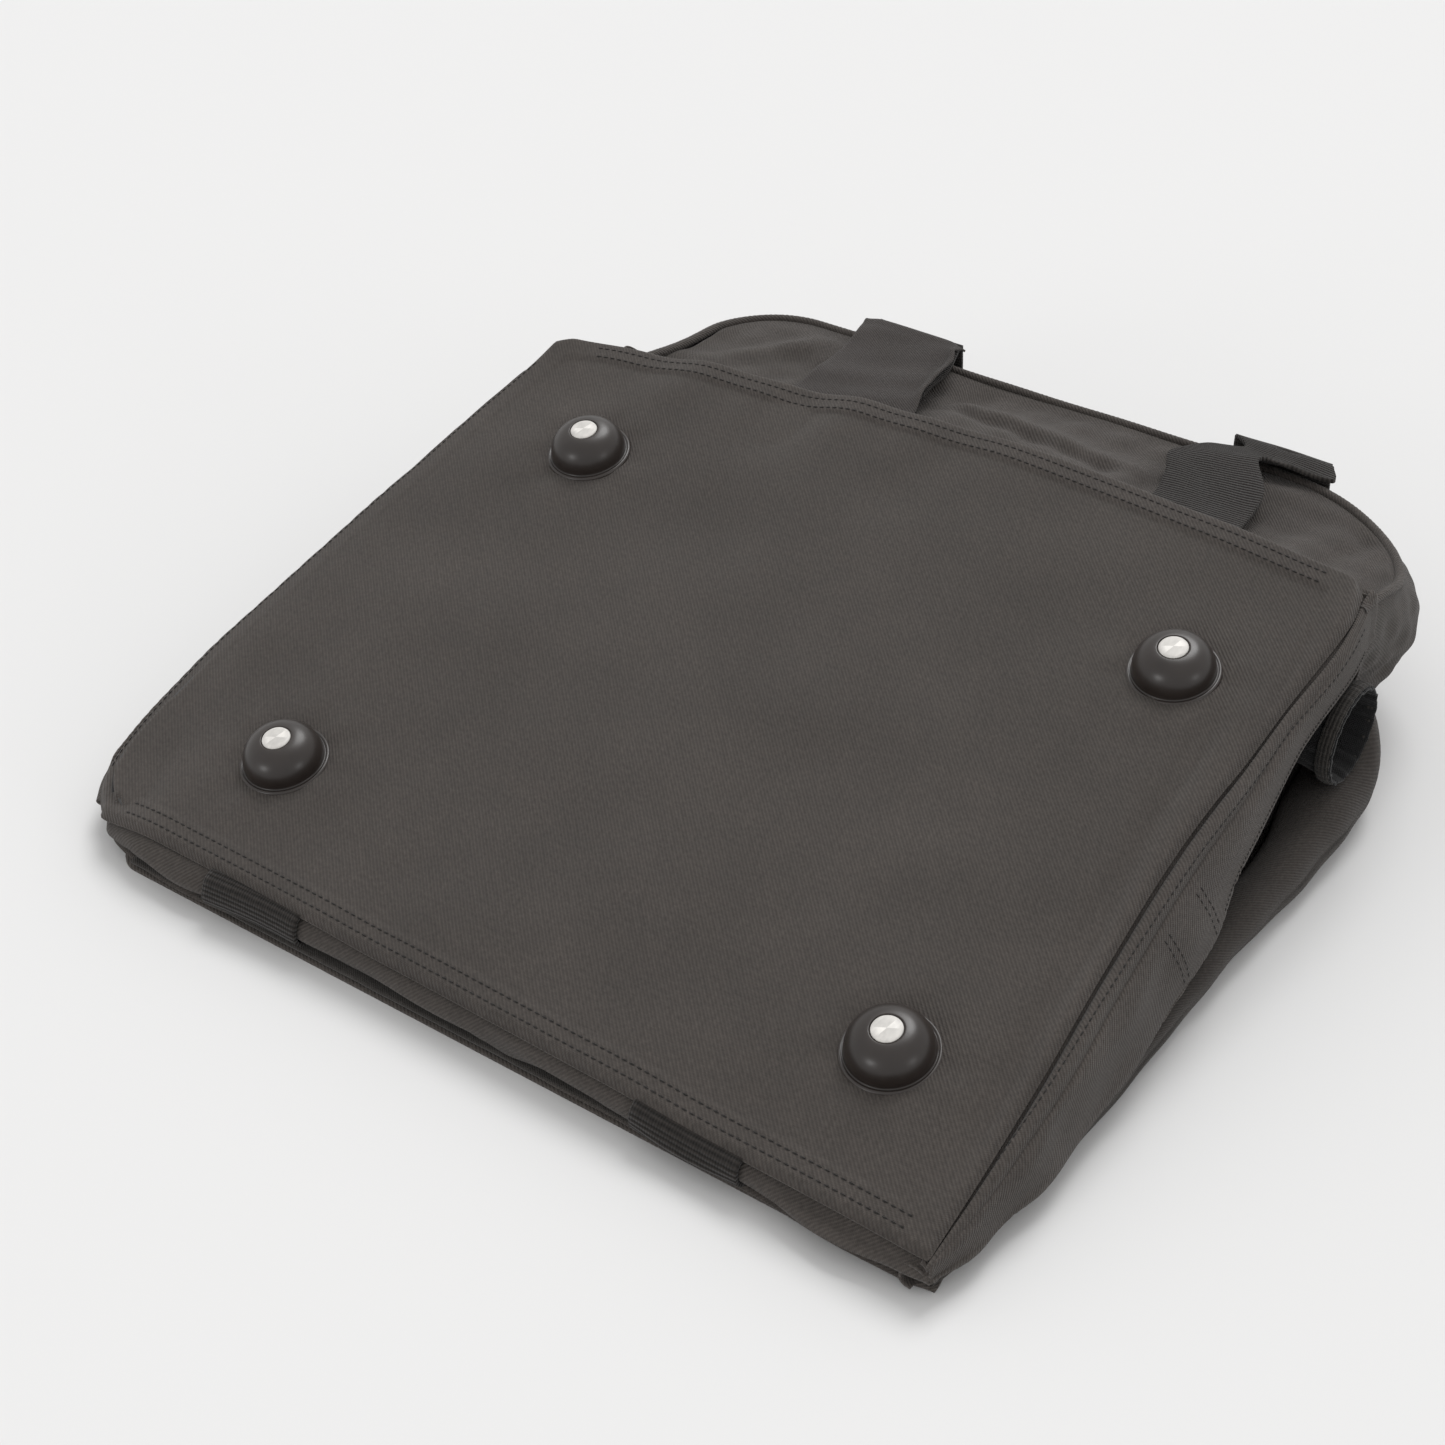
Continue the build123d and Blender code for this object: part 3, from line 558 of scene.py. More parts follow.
def base_relief(points, distance):
    """Height of the cover over its board: soft ripples, hems, creases and foot puckers."""
    u, v = points.T
    h = 1.5 + 0.8 * waves(u, v, 3, 140) + 0.38 * waves(u, v, 4, 52)
    h += 1.0 * crease(u, v, (-200, 60), (-150, 180), 18) + 0.8 * crease(u, v, (-60, -150), (60, -110), 20)
    h -= 2.3 * crease(u, v, (178, 118), (204, -150), 6.5)
    h -= 0.9 * crease(u, v, (192, 182), (203, 60), 3.0)
    h += 0.9 * crease(u, v, (190, 110), (212, -150), 6.0)
    for x, y in FEET.values():
        r, angle = np.hypot(u - x, v - y), np.arctan2(v - y, u - x)
        rays = 0.5 * np.sin(angle * 5 + x) + 0.5 * np.sin(angle * 9 + y)
        h += np.exp(-(((r - 27) / 12) ** 2)) * (0.5 + 0.45 * rays)
        h -= 0.9 * np.exp(-((r / 23) ** 4))
    hem = step(distance, 0.5, 2.0) * (1 - step(distance, 12.5, 14.5))
    back = step(v, 150, 175) * (1 - step(u, 215, 225))
    front = 1 - step(v, -162, -150)
    h += 0.7 * hem * np.maximum(front, 0.4)
    h += 1.1 * back * step(distance, 0.5, 2.0) * (1 - step(distance, 14, 16))
    h += 2.2 * step(v, 120, 185) * (1 - step(u, -60, 60)) * waves(u, v * 0.4, 9, 58)
    h -= 3.2 * (1 - step(distance, 0, 4.5)) ** 2
    droop = (1 - step(u, -228, -170)) * (1 - step(v, -175, -90))
    h -= 9.0 * droop**1.5
    h -= 5.0 * (1 - step(u, -245, -205)) ** 2
    return np.maximum(h, np.where(distance > 9, 0.25, -20))


def base_point(points, lift=0.0):
    """Points on top of the cover, or lifted off it."""
    h = base_relief(points, edge_distance(points, OUTLINE))
    return on_base(points[:, 0], points[:, 1], h + lift)


OUTLINE = base_outline(760)
RINGS = 96
ring = 1 - (np.arange(RINGS) / (RINGS - 1)) ** 1.5
flat = np.array(BASE_MIDDLE) + (OUTLINE[None] - BASE_MIDDLE) * ring[:, None, None]
cover_points = base_point(flat.reshape(-1, 2))
cover = disc("base_cover_cloth", cover_points.reshape(*flat.shape[:2], 3), flat, 1.2)
finish_piece(cover, "canvas", "base", ["base_cover"])


def inset_line(inset, first, last, count=420):
    """Line a set distance inside the cover's edge, between two fractions of the outline."""
    n = len(OUTLINE)
    at = (np.linspace(first, last, count) % 1) * n
    i = at.astype(int)
    part = (at - i)[:, None]
    line = OUTLINE[i % n] * (1 - part) + OUTLINE[(i + 1) % n] * part
    ahead = unit(np.gradient(line, axis=0))
    return line + np.stack([-ahead[:, 1], ahead[:, 0]], -1) * inset


OUT = np.array([0, -math.sin(TILT), math.cos(TILT)])
CORNERS = {"front_right": (213, -177.5), "back_right": (203, 188), "back_left": (-214, 172)}
corner = {}
for key, point in CORNERS.items():
    corner[key] = np.linalg.norm(OUTLINE - point, axis=1).argmin() / len(OUTLINE)
rows = []
for first, last, insets in (
    (0.012, corner["front_right"] - 0.008, (5.0, 10.5)),
    (corner["back_right"] + 0.012, corner["back_left"] - 0.012, (7.0, 13.0)),
    (corner["back_left"] + 0.015, 0.985, (4.0,)),
):
    for inset in insets:
        line = base_point(inset_line(inset, first, last), 0.05)
        rows.append(threads(line, np.broadcast_to(OUT, line.shape)))
thread = join_parts("base_stitching", rows)
finish_piece(thread, "canvas", "base", look="thread")


def base_layer(name, top, thickness, inset, slot, node, hollow=False):
    """One layer under the cover, cut to the cover's outline less an inset."""
    edge = OUTLINE[::4]
    size = np.linalg.norm(edge - BASE_MIDDLE, axis=1)[:, None]
    scale = 1 - inset / size
    steps = [1.0, 0.93] if hollow else [1.0, 0.985, 0.9, 0.6, 0.3, 0.0]
    flat = np.array([(edge - BASE_MIDDLE) * scale * f + BASE_MIDDLE for f in steps])
    sag = 0.0 if slot == "board" else 0.3
    h = top - sag * (1 + waves(flat[..., 0], flat[..., 1], 21, 70))
    made = disc(name, on_base(flat[..., 0], flat[..., 1], h), flat, thickness)
    return finish_piece(made, slot, "base", [node])


base_layer("base_board_sheet", -1.3, 2.0, 9.0, "board", "base_board")
under = base_layer("base_lining_cloth", -3.4, 0.8, 7.0, "lining", "base_lining")
base_layer("base_seam_tape_band", -4.5, 1.0, 7.0, "binding", "base_seam_tape", hollow=True)

# ---- feet and rivets

arc = np.linspace(0, math.pi / 2, 22)
dome = [(6.4 + 11.2 * math.cos(a), 2.5 + 12.9 * math.sin(a) ** 0.92) for a in arc]
foot_profile = [
    (2.7, 13.9), (2.7, 0.0), (19.2, 0.0), (19.9, 0.4), (20.1, 1.1), (19.7, 1.9), (19.0, 2.3),
    (18.5, 2.1), (18.1, 1.9), (17.8, 2.1), *dome, (6.55, 15.35), (6.55, 14.1), (2.7, 13.95),
]
for name, place in FEET.items():
    foot = lathe(f"foot_{name}_dome", foot_profile[::-1], [place])
    finish_piece(foot, "foot_plastic", "base", [f"foot_{name}"])
rivet_profile = [
    (0.01, 16.15), (3.2, 16.12), (5.2, 15.98), (6.0, 15.7), (6.3, 15.2), (6.3, 14.15),
    (2.5, 14.1), (2.5, -5.2), (3.8, -5.3), (4.2, -5.8), (4.0, -6.3), (0.01, -6.6),
]
rivets = lathe("foot_rivets_turned", rivet_profile, FEET.values())
finish_piece(rivets, "rivet", "base", ["foot_rivets"])

# ---- top panel on the floor


def rounded_back(half, front, back, right_radius, left_radius, front_radius, count=720):
    """Closed outline, anticlockwise from the front left, with round corners."""
    turns = (
        (front_radius - half, front + front_radius, front_radius, 180),
        (half - front_radius, front + front_radius, front_radius, 270),
        (half - right_radius, back - right_radius, right_radius, 0),
        (left_radius - half, back - left_radius, left_radius, 90),
    )
    loop = np.concatenate([quarter_turn(*turn, 30) for turn in turns])
    return evenly(np.concatenate([loop, loop[:1]]), count, endpoint=False)


def floor_sheet(name, outline, height, ripple, thickness, seed, slot, node):
    """A sheet lying on the floor, a little rippled."""
    rings = 40
    ring = 1 - (np.arange(rings) / (rings - 1)) ** 1.3
    flat = np.array(TOP_MIDDLE) + (outline[None] - TOP_MIDDLE) * ring[:, None, None]
    u, v = flat[..., 0], flat[..., 1]
    z = height + ripple * (1 + waves(u, v, seed, 90)) * step(1 - ring, 0, 0.08)[:, None]
    made = disc(name, together(u, v, z), flat, thickness)
    return finish_piece(made, slot, "bag", [node])


TOP_MIDDLE = (0, 64)
TOP_OUTLINE = rounded_back(204, -168, 292, 108, 66, 14)
TOP_LINING_OUTLINE = rounded_back(188, -150, 279, 96, 54, 12)
top = floor_sheet("top_panel_cloth", TOP_OUTLINE, 1.5, 0.15, 1.4, 31, "canvas", "top_panel")
top_inner = floor_sheet("top_lining_cloth", TOP_LINING_OUTLINE, 2.7, 0.12, 0.8, 32, "lining", "top_lining")
x = np.linspace(-193, 193, 200)
t = np.linspace(0, 1, 9)
z = 3.0 + 0.9 * np.sin(math.pi * t) + 0.2 * waves(x, x * 0, 5, 30)[:, None]
binding = cloth("front_binding_tape", together(x[:, None], -167 + 10 * t, z), 1.4)
finish_piece(binding, "binding", "bag", ["front_binding"])

# ---- front wall


def cover_edge(u, v):
    """Point on the very edge of the cover at u and v."""
    u, v = np.broadcast_arrays(np.atleast_1d(np.asarray(u, float)), v)
    return on_base(u, v, base_relief(np.stack([u, v], -1), np.full(u.shape, 0.3)))


def long_edge(x, knots):
    """Y and Z of the cover's front or back edge."""
    p = cover_edge(x, curve(x, knots))
    return p[..., 1], p[..., 2]


xs = np.linspace(-227, 214.5, 300)
ye, ze = long_edge(xs, FRONT_EDGE)
sway = waves(xs, 0 * xs, 41, 95)
ripple = waves(xs, 0 * xs, 42, 34)
right_bulge = step(xs, 125, 150)
corner_turn = 2 * step(xs, 200, 214.5) ** 2 + 17 * (1 - step(xs, -228, -206)) ** 1.5
rows = []
for x, y, z, w, r, b in zip(xs, ye + corner_turn, ze, sway, ripple, right_bulge):
    low = max(3.0, z * 0.32)
    rows.append([
        (x, y + 5, z - 0.8), (x, y + 2.6, z - 2.2), (x, y + 0.2 - 0.6 * r, z * 0.78),
        (x, y - 2.0 - 1.8 * w - b, z * 0.55), (x, y + 0.5 - 1.2 * w, low + 2.5), (x, y + 4 + w, low + 1.0),
        (x * 0.98, y + 30, 11.5 + r), (x * 0.96, -60, 13.5 + w), (x * 0.96, -55.5, 9.5),
        (x * 0.96, -60, 5.6), (x * 0.98, y + 30, 4.6 + 0.4 * r), (x, y + 5, 3.6), (x, y + 1.0 - 0.8 * w, 2.6),
    ])
front = folded(rows, 120)
share = np.linspace(1, 0, 120)
push = 0.9 * waves(xs[:, None] * 1.0, arc_uv(front)[..., 1] * 2.5, 43, 60)
push *= step(1 - share, 0.01, 0.05) * step(share, 0.0, 0.04)
wall = cloth("front_wall_cloth", front + normals_of(front) * push[..., None], WALL_THICKNESS)
finish_piece(wall, "canvas", nodes=["front_wall"])
stretch(wall, share)

# Straps on the front wall
for side, centre in (("left", -117.5), ("right", 106.5)):
    xs_strap = np.linspace(centre - 25, centre + 25, 26)
    rows = []
    for x, y, z in zip(xs_strap, *long_edge(xs_strap, FRONT_EDGE)):
        w = waves(x, 0, 41, 95)
        rows.append([
            (x, y + 3, z + 0.3), (x, y - 1.4, z - 1.4), (x, y - 3.2, z * 0.78),
            (x, y - 4.2 - 1.8 * w, z * 0.56), (x, y - 2.2 - 1.2 * w, 8.2), (x, y + 3, 6.2),
            (x, y + 22, 9.8), (x, y + 44, 10.4),
        ])
    made = cloth(f"strap_front_{side}_webbing", folded(rows, 60), 1.7)
    finish_piece(made, "webbing", nodes=[f"strap_front_{side}"])
    stretch(made, np.linspace(1, 0.55, 60))

# ---- side walls and rolls


def side_edge(y, side):
    """X and Z of the cover's side edge at Y."""
    v = np.asarray(y, float) / math.cos(TILT)
    edge = np.array(RIGHT_EDGE if side > 0 else LEFT_EDGE[::-1], float)[:, ::-1]
    x = curve(v, edge)
    return x, cover_edge(x - side * 0.5, v)[..., 2]


LOWER_EDGE = [  # y, then how far outside the seam and how high the fold's edge is, on the right
    (-172, 2.5, 12), (-150, 8, 11), (-110, 13, 12), (-60, 17, 17), (-20, 20, 25), (10, 20.5, 31),
    (28, 19.5, 37), (45, 17.5, 46), (80, 13, 61), (110, 9.5, 72), (140, 7.5, 80), (170, 6.5, 84),
    (188, 5.5, 84),
]
SIDE_REACH = {1: (-173.5, 188), -1: (-154, 166)}
TRAIL = {1: 30, -1: 92}  # how far the wall runs on behind the base at its back end
BACK_HEIGHT = {1: 84, -1: 68}  # height of its inner fold there
BACK_SHARE = {  # how much of the trail each point down the wall follows
    1: [0] * 10 + [0.1, 0.3, 0.6, 1, 1],
    -1: [0, 0, 0, 0, 0.05, 0.1, 0.2, 0.4, 0.5, 0.55, 0.6, 0.7, 0.8, 1, 1],
}
TURN_IN = [0, 0, 0.2, 0.5, 0.8] + [1] * 10  # how much of the turn round the corners each follows
DROP = [0] * 10 + [2, 6, 0, 0, 0]  # how far each drops at the back end
OUTER_CHORDS = 9  # how many of the steps between those points face outwards


def side_wall(side):
    """Points down the folded side wall, its shares of stretch and where its outside ends."""
    ys = np.linspace(*SIDE_REACH[side], 300)
    rows, outside = [], []
    for y, x, z, (reach, low) in zip(ys, *side_edge(ys, side), curve(ys, LOWER_EDGE)):
        if side < 0:
            reach, low = 1.0, max(4.0, z * 0.55)
        end = float(step(y, 135, ys[-1]))
        front_end = float(1 - step(y, ys[0], ys[0] + 24))
        wrap = 32 * end**2 + 9 * front_end if side < 0 else 0
        f = min(1.0, max(0.12, reach / 16))
        deep = float(step(y, 20, 60))
        inner = (-9 - 8 * deep) * (1 - end) - 6 * end
        row = [
            (-2.5, z - 1.2), (-0.6 * f, z - 2.6), (0.8 * f, z - 3.6), (3.0 * f, z - 0.8),
            (6.2 * f, z - 1.9), (7.8 * f, z - 5.2 * f - 0.6), (9.6 * f, z - 5.6 * f - 0.9),
            (9.6 * f + 0.45 * (reach - 9.6 * f), z + (low - z) * 0.42), (reach - 0.8, low + 0.12 * (z - low)),
            (reach, low), (reach - 1.6, low - 1.0), (min(reach * 0.5 - 4, 2), low + 2 + 0.1 * (z - low)),
            (inner, (low + 0.3 * (z - low)) * (1 - end) + BACK_HEIGHT[side] * end),
            (inner - 1 - 5 * end, max(low * 0.5, 4.5)), (-6 - 20 * end, 3.2),
        ]
        row = [
            (x + side * (out - wrap * k), y + TRAIL[side] * end * b, height - d * end)
            for (out, height), b, k, d in zip(row, BACK_SHARE[side], TURN_IN, DROP)
        ]
        chord = np.linalg.norm(np.diff(np.array(row), axis=0), axis=1)
        outside.append(chord[:OUTER_CHORDS].sum() / chord.sum())
        rows.append(row)
    grid = folded(rows, 170)
    share = np.linspace(1, 0, 170)
    fade = step(1 - share, 0.16, 0.25) * step(share, 0, 0.05)
    push = 0.9 * waves(ys[:, None], arc_uv(grid)[..., 1] * 1.6, 51 + side, 38) * fade
    return grid + normals_of(grid) * push[..., None], share, np.array(outside)


def right_wall_seams(grid, outside):
    """Stitching of the right wall, and how far each of its points follows the base."""
    first, last = SIDE_REACH[1]
    normal = normals_of(grid)

    def edge(y):
        return np.interp((y - first) / (last - first), np.linspace(0, 1, len(outside)), outside)

    # Double-stitched bars across the wall, its overlocked edge and the welt beside the base
    lines = [([(y - 6, 0.17), (y, edge(y) * 0.96)], {}) for y in (25, 28.5, -1, 2.5)]
    overlock = [(y, edge(y) * 0.955) for y in np.linspace(34, 172, 40)]
    lines.append((overlock, {"pitch": 2.2, "length": 1.5}))
    lines.append(([(y, 0.095) for y in np.linspace(-140, 170, 60)], {}))
    parts, shares = [], []
    for line, size in lines:
        u = np.linspace(0, len(line) - 1, 500)
        y_at, t_at = (np.interp(u, np.arange(len(line)), values) for values in np.array(line, float).T)
        s_at = (y_at - first) / (last - first)
        path, up = sample(grid, s_at, t_at), -sample(normal, s_at, t_at)
        points, faces = threads(path + up * 0.5, up, **size)
        near = np.linalg.norm(points[:, None] - path[None, ::5], axis=-1).argmin(1)
        shares.append(1 - t_at[::5][near])
        parts.append((points, faces))
    return parts, np.concatenate(shares)


for name, side in SIDES.items():
    grid, share, outside = side_wall(side)
    made = cloth(f"side_wall_{name}_cloth", grid, WALL_THICKNESS, flip=side > 0)
    finish_piece(made, "canvas", nodes=[f"side_wall_{name}"])
    stretch(made, share)
    if side > 0:
        parts, shares = right_wall_seams(grid, outside)
        seams = join_parts("side_wall_right_stitching", parts)
        finish_piece(seams, "canvas", look="thread")
        stretch(seams, shares)

# Rolls of cloth on the floor along both sides
ROLL = [  # y, outer x, height of the roll, its half width
    (-170, 213, 7, 4), (-150, 217, 8, 6), (-100, 220, 10, 8), (-40, 222, 14, 9), (10, 222.5, 19, 10),
    (60, 223, 21, 10), (105, 225, 23, 11), (128, 226, 26, 14), (150, 226, 27, 15), (172, 225, 29, 15),
    (190, 220, 39, 13), (206, 211, 36, 9), (216, 203, 22, 3),
]
FLOOR_GAP = 1.9
for name, side in SIDES.items():
    ys = np.linspace(-169 if side > 0 else -140, 215, 260)
    angle = np.linspace(0, 2 * math.pi, 64, endpoint=False)
    outer, height, half = curve(ys, ROLL).T
    if side < 0:
        outer = outer + 5
        height = np.minimum(height * 0.8, np.interp(ys, (-170, 215), (12, 60)))
    squash = 0.82 + 0.18 * np.abs(np.sin(angle))
    x = (outer - half)[:, None] + half[:, None] * np.cos(angle) * squash / 0.82
    z = height[:, None] / 2 * (1 + np.sin(angle)) + FLOOR_GAP
    swell = 1.6 * waves(ys[:, None], angle * 9, 61, 48) * np.clip(height[:, None] / 30, 0.3, 1)
    swell = swell * np.abs(np.cos(angle / 2 - math.pi / 4)) ** 0.5
    z = np.maximum(z + swell * np.sin(angle) * 0.6, FLOOR_GAP)
    grid = together(side * (x + swell * np.cos(angle)), ys[:, None], z)
    uv = together(ys[:, None], angle * 15)
    made = cloth(f"side_roll_{name}_cloth", grid, uv=uv, flip=side > 0, closed=ROUND)
    # The rolls take the darker copy of the canvas: painted shade
    finish_piece(made, "canvas", "bag", [f"side_roll_{name}"], "canvas_roll_painted_shade")

# ---- back gusset, pipings, ledge


def back_route(right, left, back, front, right_radius, left_radius, count):
    """Path round the back from the front end of the right side to that of the left."""
    right_turn = quarter_turn(right - right_radius, back - right_radius, right_radius, 0, 40)
    left_turn = quarter_turn(left_radius - left, back - left_radius, left_radius, 90, 40)
    line = np.concatenate([[(right, front)], right_turn, left_turn, [(-left, front)]])
    return through(line, count, smooth=False)


def rim_height(route):
    """Height of the gusset's upper edge along the back route."""
    x, y = route[..., 0], route[..., 1]
    rise = curve(y, [(170, 22), (198, 18), (241, 5), (273, 0.5), (296, 0)])
    return 78.5 + np.where(x > 0, rise, rise * 0.6) + 1.2 * waves(x, y, 71, 120)


ROUTE_POINTS = 460
rim_route = back_route(206, 190, 294, 176, 92, 42, ROUTE_POINTS)
middle_route = back_route(204, 189, 294, 181, 62, 42, ROUTE_POINTS)
foot_route = back_route(186, 186, 290, 186, 94, 60, ROUTE_POINTS)
ahead = unit(np.gradient(rim_route, axis=0))
outward = np.stack([ahead[:, 1], -ahead[:, 0]], -1)
rim = rim_height(rim_route)
run = length_along(rim_route)
pinch = 1 - step(np.minimum(run, run[-1] - run), 8, 60)
up_wall = np.linspace(0, 1, 90)
bulge = np.sin(math.pi * up_wall) ** 0.8
shape = 3.0 * bulge[None] + 3.6 * waves(run[:, None], up_wall * 60, 72, 85) * bulge
shape = shape - 8 * pinch[:, None] * np.exp(-(((up_wall - 0.4) / 0.18) ** 2))
shape = shape + 1.2 * waves(run[:, None], up_wall * 110, 73, 26) * bulge
z = FLOOR_GAP + (rim[:, None] - FLOOR_GAP) * up_wall
# The wall stays close to its route beside the zip and flat behind it
beside_zip = np.minimum(step(np.abs(rim_route[:, :1]), 150, 175) + (rim_route[:, 1:] < 270), 1)
shape = np.minimum(shape, 2.4 + 3.6 * beside_zip)
behind_zip = (1 - beside_zip) * step(z, 36, 44)
shape = shape * (1 - behind_zip) - 0.3 * behind_zip
# A parabola up the wall through its three routes
MIDDLE = 0.7
weights = (
    (up_wall - MIDDLE) * (up_wall - 1) / MIDDLE,
    up_wall * (1 - up_wall) / (MIDDLE * (1 - MIDDLE)),
    up_wall * (up_wall - MIDDLE) / (1 - MIDDLE),
)
flat = sum(r[:, None] * w[None, :, None] for r, w in zip((foot_route, middle_route, rim_route), weights))
flat = flat + outward[:, None] * shape[..., None]
made = cloth("back_gusset_cloth", np.concatenate([flat, z[..., None]], -1), 1.2, -1.0)
finish_piece(made, "canvas", "bag", ["back_gusset"])
for node, line, height, inset in (
    ("piping_upper", rim_route, rim + 1.0, 0.8),
    ("piping_lower", foot_route, np.full(ROUTE_POINTS, 4.2), -1.8),
):
    path = np.column_stack([line - outward * inset, height + 0.5 * waves(run, 0 * run, 74, 70)])
    made = tube(f"{node}_cord", path, 2.3 + 0.1 * np.sin(run * 2.2))
    finish_piece(made, "binding", "bag", [node], "canvas")

# The back wall lies as a ledge between the base and the upper piping
xs = np.linspace(-186, 203, 300)
top_xs = np.linspace(-214, 204, 300)


def rim_y(x):
    """Y of the rim behind x."""
    right = 90 - np.sqrt(np.maximum(90**2 - np.maximum(x - 113, 0) ** 2, 0))
    left = 39 - np.sqrt(np.maximum(39**2 - np.maximum(-148 - x, 0) ** 2, 0))
    return 291 - right - left


yb, zb = long_edge(top_xs, BACK_EDGE[::-1])
yr = np.maximum(rim_y(xs), yb + 4)
zr = rim_height(np.stack([xs, yr], -1)) + 1.0
rows = []
for x, x0, y0, z0, y1, z1 in zip(xs, top_xs, yb, zb, yr, zr):
    reach = y1 - y0
    lift = step(reach, 10, 60)
    under_straps = step(x, -140, -118) * (1 - step(x, -50, -30)) + step(x, 58, 74) * (1 - step(x, 136, 156))
    press = 2.6 * lift * under_straps
    rows.append([
        (x0, y0 - 5, z0 - 2), (x0, y0 - 4.5, z0 - 8), (0.8 * x0 + 0.2 * x, y0 + 3, z0 - 12 - 1.5 * lift),
        (0.3 * x0 + 0.7 * x, y0 + 0.3 * reach, z0 - 13 - 5 * lift - press),
        (x, y0 + 0.62 * reach, z1 + (z0 - 13 - z1) * 0.42 - 2 * lift - press),
        (x, y0 + 0.88 * reach, z1 + 0.2), (x, y1, z1 - 0.6), (x, y1 + 2.0, z1 - 1.8),
    ])
ledge = folded(rows, 110)
share = np.linspace(1, 0, 110)
fade = step(share, 0, 0.15) * step(1 - share, 0, 0.1)
lx, ly = ledge[..., 0], ledge[..., 1]
relief = 2.0 * waves(lx, ly, 81, 75) + 0.9 * waves(lx, ly, 82, 28)
relief += 3.5 * crease(lx, ly, (-178, 215), (-125, 280), 9) - 3.0 * crease(lx, ly, (-40, 245), (60, 236), 6)
relief += 3.0 * crease(lx, ly, (-50, 254), (75, 246), 7) - 3.0 * crease(lx, ly, (160, 210), (178, 268), 7)
ledge[..., 2] += relief * fade
made = cloth("back_wall_cloth", ledge, WALL_THICKNESS)
finish_piece(made, "canvas", nodes=["back_wall"])
stretch(made, share)

# ---- back straps and handle


LEFT_STRAP = [  # middle of the strap from under the cover to where it hangs, then its tilt to the right
    (-72, 187, 104.5, 0), (-72.5, 190, 99.5, 0), (-74, 200, 95, 0), (-78, 228, 91, 0.02),
    (-84, 260, 87.0, 0.02), (-89, 284, 84.8, 0), (-93, 297, 84.8, 0), (-95.5, 304.5, 85.2, 0),
    (-96, 307.4, 84.2, 0),
]
HANGING = 8  # the first point of the left strap that hangs down


def left_strap(width, rise, count):
    """Rows across the left strap, which lies low over the ledge."""
    rows = []
    for across in np.linspace(-0.5, 0.5, count):
        edge, off = 0.7 * abs(across * 2) ** 3, across * width
        rows.append([
            (x + off, y + rise * (k >= HANGING), z + rise * (k < HANGING) - edge + tilt * off)
            for k, (x, y, z, tilt) in enumerate(LEFT_STRAP)
        ])
    return rows


RIGHT_STRAP = [  # left and right edges of the right strap, which folds over at its top
    ((80, 191, 106), (130, 189, 105.5)), ((81, 195, 101), (130, 193, 100)),
    ((82, 206, 95.5), (130, 206, 95.5)), ((82, 224, 92.3), (128, 226, 92.3)),
    ((77, 245, 91.5), (123, 254, 92)), ((70, 264, 92), (108, 280, 93)), ((80, 283, 90), (122, 288, 89)),
    ((93, 295, 86.5), (140, 293, 85.8)), ((87, 304, 86.0), (136, 303, 85.6)),
    ((83, 307.4, 84.6), (133, 307.4, 84.4)),
]


def right_strap(count):
    """Rows across the right strap, from its left edge to its right one."""
    left, right = np.array(RIGHT_STRAP, float).transpose(1, 0, 2)
    return [(1 - k) * left + k * right for k in np.linspace(0, 1, count)]


def share_below(points):
    """How far the ledge under each point follows the base."""
    flat, at = ledge[::3, :, :2].reshape(-1, 2), np.broadcast_to(share, ledge[::3].shape[:2]).ravel()
    return np.array([at[((flat - p) ** 2).sum(1).argmin()] for p in points[..., :2].reshape(-1, 2)])


for side, rows in (("left", left_strap(50, 0.0, 30)), ("right", right_strap(30))):
    grid = folded(rows, 120)
    grid[..., 2] += 0.4 * waves(grid[..., 0], grid[..., 1], 91, 26)
    uv = arc_uv(grid)
    uv[..., 1] = uv[..., 1].mean(0)
    made = cloth(f"strap_back_{side}_webbing", grid, 2.0, uv=uv)
    finish_piece(made, "webbing", nodes=[f"strap_back_{side}"])
    stretch(made, share_below(grid))

grid = folded(left_strap(64, 1.9, 46), 120)
across = np.linspace(-0.5, 0.5, 46)[:, None]
along = np.linspace(0, 1, 120)
loose = step(along, 0.1, 0.3) * (1 - step(along, 0.85, 1))
curl = np.exp(-((across - 0.5) / 0.1) ** 2) * step(along, 0.25, 0.5) * (1 - step(along, 0.85, 0.97))
over_edge = step(along, 0.78, 0.97)
grid[..., 2] += 0.9 * (1 + waves(grid[..., 0], grid[..., 1], 92, 45)) * loose
grid[..., 2] += 4.0 * curl - 1.5 * step(np.abs(across), 0.35, 0.5) * step(along, 0.8, 0.97)
grid[..., 0] -= 5.0 * curl + 6.0 * step(across, 0.2, 0.5) * over_edge
made = cloth("strap_sheath_cloth", grid, WALL_THICKNESS)
finish_piece(made, "canvas", nodes=["strap_sheath"], look="canvas_dark")
stretch(made, share_below(grid))


def handle_loop(left_out, left_in, right_in, right_out, top, shoulder, bottom, core, taper):
    """Centre line and half widths of a webbing loop: leg, core, leg, in its own plane."""
    left, right = (left_out + left_in) / 2, (right_out + right_in) / 2
    leg = (left_in - left_out) / 2
    middle = (bottom + core) / 2
    line = [
        (left, top), (left, (top + shoulder) / 2), (left + 1.5, shoulder), (left + taper * 0.8, middle + 7),
        (left + taper * 1.7, middle + 0.6), (left + taper * 2.6, middle),
    ]
    line += [(left + right - p, q) for p, q in line[::-1]]
    wide = [leg, leg, leg * 0.92, leg * 0.62, (core - bottom) / 2, (core - bottom) / 2 - 0.4]
    return np.array(line), np.array(wide + wide[::-1])


